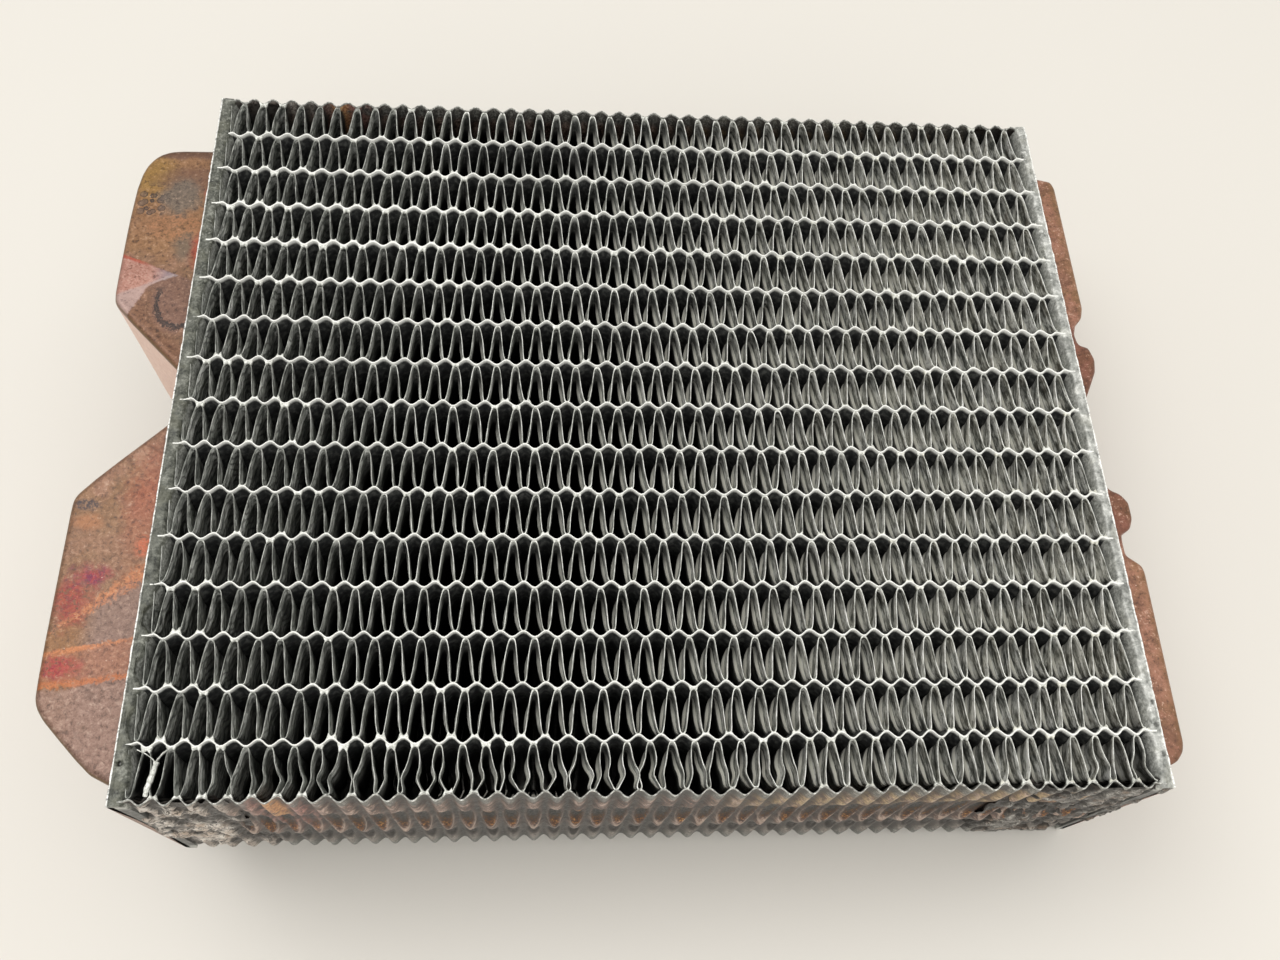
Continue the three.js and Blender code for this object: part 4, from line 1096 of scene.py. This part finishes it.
def stub(cx, cy, seed):
    p = [(5.45, -43.4), (5.9, -43.35), (6.33, -43.6), (6.35, -46.0), (6.35, -52.0), (6.34, -57.0), (6.36, -60.6), (6.5, -61.3), (6.9, -61.9), (7.08, -62.5), (7.08, -63.0), (6.9, -63.5), (6.5, -63.95),
         (6.36, -64.4), (6.35, -66.3), (6.3, -66.7), (6.15, -66.94), (5.9, -67.0), (5.62, -66.96), (5.48, -66.75), (5.45, -66.2), (5.45, -64.0), (5.7, -62.8), (5.46, -61.5), (5.45, -55.0), (5.45, -50.0), (5.45, -46.0)]
    return lathe(cx, cy, p, wob=0.03, seed=seed)


def collar(cx, cy, seed):
    p = [(6.2, -45.5), (8.6, -45.6), (8.75, -45.95), (8.3, -46.25), (7.6, -46.6), (7.1, -47.2), (6.8, -48.0), (6.55, -48.8), (6.3, -49.0), (6.2, -47.0)]
    return lathe(cx, cy, p, wob=0.35, seed=seed)


mesh("stub_outlet", stub(*OUT_C, 11), M_STUB, ["outlet_stub"])
mesh("stub_inlet", stub(*IN_C, 12), M_STUB, ["inlet_stub"])
mesh("collar_outlet", collar(*OUT_C, 13), M_COLLAR, ["outlet_collar"])
mesh("collar_inlet", collar(*IN_C, 14), M_COLLAR, ["inlet_collar"])

# ------------------------------------------------------------------ corner solder


def lump(x0, x1, sgn, seed, reach, level, rough):
    """Skin of solder over a side strip's end. Where it is thin it drops below the strip's own surface."""
    xs = np.arange(x0, x1 + 0.01, 0.36)
    zs = np.arange(-0.4, -49.7, -0.55)
    X, Z = np.meshgrid(xs, zs, indexing="ij")
    k = 16 if sgn < 0 else 0
    end = x0 if abs(x0) > abs(x1) else x1
    inner = x1 if end == x0 else x0
    t = (X - inner) / (end - inner)
    cover = sst(t, 0.0, reach)
    und = fbm(X / 5.0, Z / 7.0, seed, 3)
    crisp = fbm(X / 1.7, Z / 2.4, seed + 3, 3)
    ridge = 1 - np.abs(fbm(X / 3.2 + 5, Z / 6.0, seed + 8, 3)) * 2
    th = level * cover - 1.3 * (1 - cover) + rough * und * 0.9 + rough * crisp * 0.45 + 0.35 * rough * ridge
    wv = wave(k, X)
    skin = np.abs(ROW_Y[k]) + 0.25 + th * 0.75 + 0.25 * sgn * wv
    lim = np.abs(ROW_Y[k]) + 1.42
    skin = np.minimum(skin, lim - 0.25 * np.exp(-(lim - skin).clip(0) * 3))
    edge = np.minimum(np.minimum(-Z, DEPTH + Z), 3.0) / 3.0
    skin = skin - 0.9 * (1 - np.clip(edge, 0, 1)) ** 2
    endd = np.clip(np.abs(end - X) / 1.2, 0, 1)
    skin = skin - 0.8 * (1 - endd) ** 2
    Y = sgn * skin
    A = np.stack([X, Y, Z], -1)
    B = np.stack([X, sgn * np.full(X.shape, np.abs(ROW_Y[k]) - 0.5), Z], -1)
    q = grid(len(xs), len(zs), flip=sgn > 0)
    return [(A, q), (B, q[:, ::-1])]


mesh("corner_lower_right", lump(65.0, 93.7, -1.0, 401, 0.45, 0.25, 2.4), M_LUMP_R, ["corner_solder_lower_right"])
mesh("corner_lower_left", lump(-93.7, -74.0, -1.0, 402, 0.35, -0.35, 2.2), M_LUMP_L, ["corner_solder_lower_left"])
mesh("corner_upper_right", lump(80.0, 93.6, 1.0, 403, 0.6, 0.6, 0.8), M_LUMP_R, ["corner_solder_upper_right"])
mesh("corner_upper_left", lump(-93.6, -80.0, 1.0, 404, 0.6, 0.6, 0.8), M_LUMP_L, ["corner_solder_upper_left"])

# ------------------------------------------------------------------ loose sliver of fin at the lower left


def sliver(pts, w, d, seed):
    """A narrow bent strip standing in a cell: pts are (x, y), w its half thickness, d its depth."""
    p = np.array(pts, float)
    t = np.linspace(0, 1, 12)
    L = np.linspace(0, 1, len(p))
    x, y = np.interp(t, L, p[:, 0]), np.interp(t, L, p[:, 1])
    tx_, ty_ = np.gradient(x), np.gradient(y)
    n = np.hypot(tx_, ty_)
    V = []
    for sgn, z in ((1, -0.3), (1, -d), (-1, -d), (-1, -0.3)):
        ww = w * (1 + 0.3 * vn(t * 9, seed, 4))
        V.append(np.stack([x - sgn * ty_ / n * ww, y + sgn * tx_ / n * ww, z + 0.2 * vn(t * 6, seed + z, 5)], -1))
    return np.array(V), grid(4, 12, close_u=True)


loose = [sliver([(-86.35, -70.4), (-86.75, -72.6), (-87.3, -75.0), (-87.4, -76.2)], 0.34, 1.4, 1),
         sliver([(-89.8, -68.3), (-88.3, -69.0), (-87.0, -69.9), (-86.2, -71.0)], 0.07, 1.2, 2),
         sliver([(-86.4, -70.4), (-85.6, -69.0), (-84.8, -68.4)], 0.07, 1.2, 3)]
mesh("loose_fin_end", loose, M_WEB)

# ------------------------------------------------------------------ floor, light, camera


def row(x, y, z):
    """Core-frame millimetres to row-frame metres."""
    return Vector(((x + ORG[0]) / MM, (y + ORG[1]) / MM, (z + ORG[2]) / MM))


SLOPE = 0.09035
fm = bpy.data.meshes.new("floor")
hs = 0.8
fz = lambda x: (17.0 + (x * MM - 98.85) * SLOPE) / MM - 0.0002
fm.from_pydata([(-hs, -hs, fz(-hs)), (hs, -hs, fz(hs)), (hs, hs, fz(hs)), (-hs, hs, fz(-hs))], [], [(0, 1, 2, 3)])
floor = bpy.data.objects.new("floor", fm)
bpy.context.scene.collection.objects.link(floor)
fmat = bpy.data.materials.new("floor")
fmat.use_nodes = True
b = fmat.node_tree.nodes["Principled BSDF"]
b.inputs["Base Color"].default_value = lin((221, 217, 209))
b.inputs["Roughness"].default_value = 0.5
fm.materials.append(fmat)
floor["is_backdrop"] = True

world = bpy.data.worlds.new("room")
bpy.context.scene.world = world
world.use_nodes = True
bg = world.node_tree.nodes.get("Background") or world.node_tree.nodes.new("ShaderNodeBackground")
bg.inputs[1].default_value = 0.79
wt = world.node_tree
wc = wt.nodes.new("ShaderNodeTexCoord")
wsx = wt.nodes.new("ShaderNodeSeparateXYZ")
wt.links.new(wc.outputs["Generated"], wsx.inputs[0])
wr = wt.nodes.new("ShaderNodeMapRange")
wr.interpolation_type = "SMOOTHSTEP"
wt.links.new(wsx.outputs[1], wr.inputs["Value"])
wr.inputs["From Min"].default_value = -0.75
wr.inputs["From Max"].default_value = 0.45
wramp = wt.nodes.new("ShaderNodeValToRGB")
wt.links.new(wr.outputs[0], wramp.inputs[0])
wramp.color_ramp.elements[0].color = (0.76, 0.745, 0.72, 1)
wramp.color_ramp.elements[1].color = (1.0, 0.988, 0.966, 1)
wt.links.new(wramp.outputs[0], bg.inputs[0])


def area(name, loc, target, size, power, color=(1, 1, 1)):
    d = bpy.data.lights.new(name, "AREA")
    d.shape = "RECTANGLE"
    d.size, d.size_y = size
    d.energy = power
    d.color = color
    o = bpy.data.objects.new(name, d)
    o.location = loc
    v = Vector(target) - Vector(loc)
    o.rotation_euler = v.to_track_quat("-Z", "Y").to_euler()
    bpy.context.scene.collection.objects.link(o)
    o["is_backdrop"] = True
    return o


area("window", (-0.58, 0.32, 1.25), (0, 0, 0.03), (0.8, 0.8), 6.2, (1.0, 0.99, 0.975))
area("ceiling", (0.32, -0.12, 1.5), (0, 0, 0.03), (1.2, 1.2), 5.2, (1.0, 0.992, 0.978))
area("fill", (0.05, -0.85, 0.95), (0, -0.15, 0.03), (1.0, 0.8), 2.9, (1.0, 0.992, 0.98))

cam_d = bpy.data.cameras.new("camera")
cam_d.lens = 31.937
cam_d.sensor_width = 36
cam_d.clip_start = 0.005
cam = bpy.data.objects.new("camera", cam_d)
right = Vector((0.99604019, -0.03180298, 0.08302119))
down = Vector((0.00688037, -0.90345253, -0.42863293))
fwd = Vector((0.08863751, 0.42750684, -0.89965621))
rot = Matrix((right, -down, -fwd)).transposed()
m4 = rot.to_4x4()
m4.translation = row(-21.826, -112.269, 200.734)
cam.matrix_world = m4
bpy.context.scene.collection.objects.link(cam)
bpy.context.scene.camera = cam
cam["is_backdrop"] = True

vs = bpy.context.scene.view_settings
vs.view_transform = "Standard"
vs.look = "None"
vs.exposure = 0.0
vs.gamma = 1.0

SIZE_LAST = plain(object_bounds())
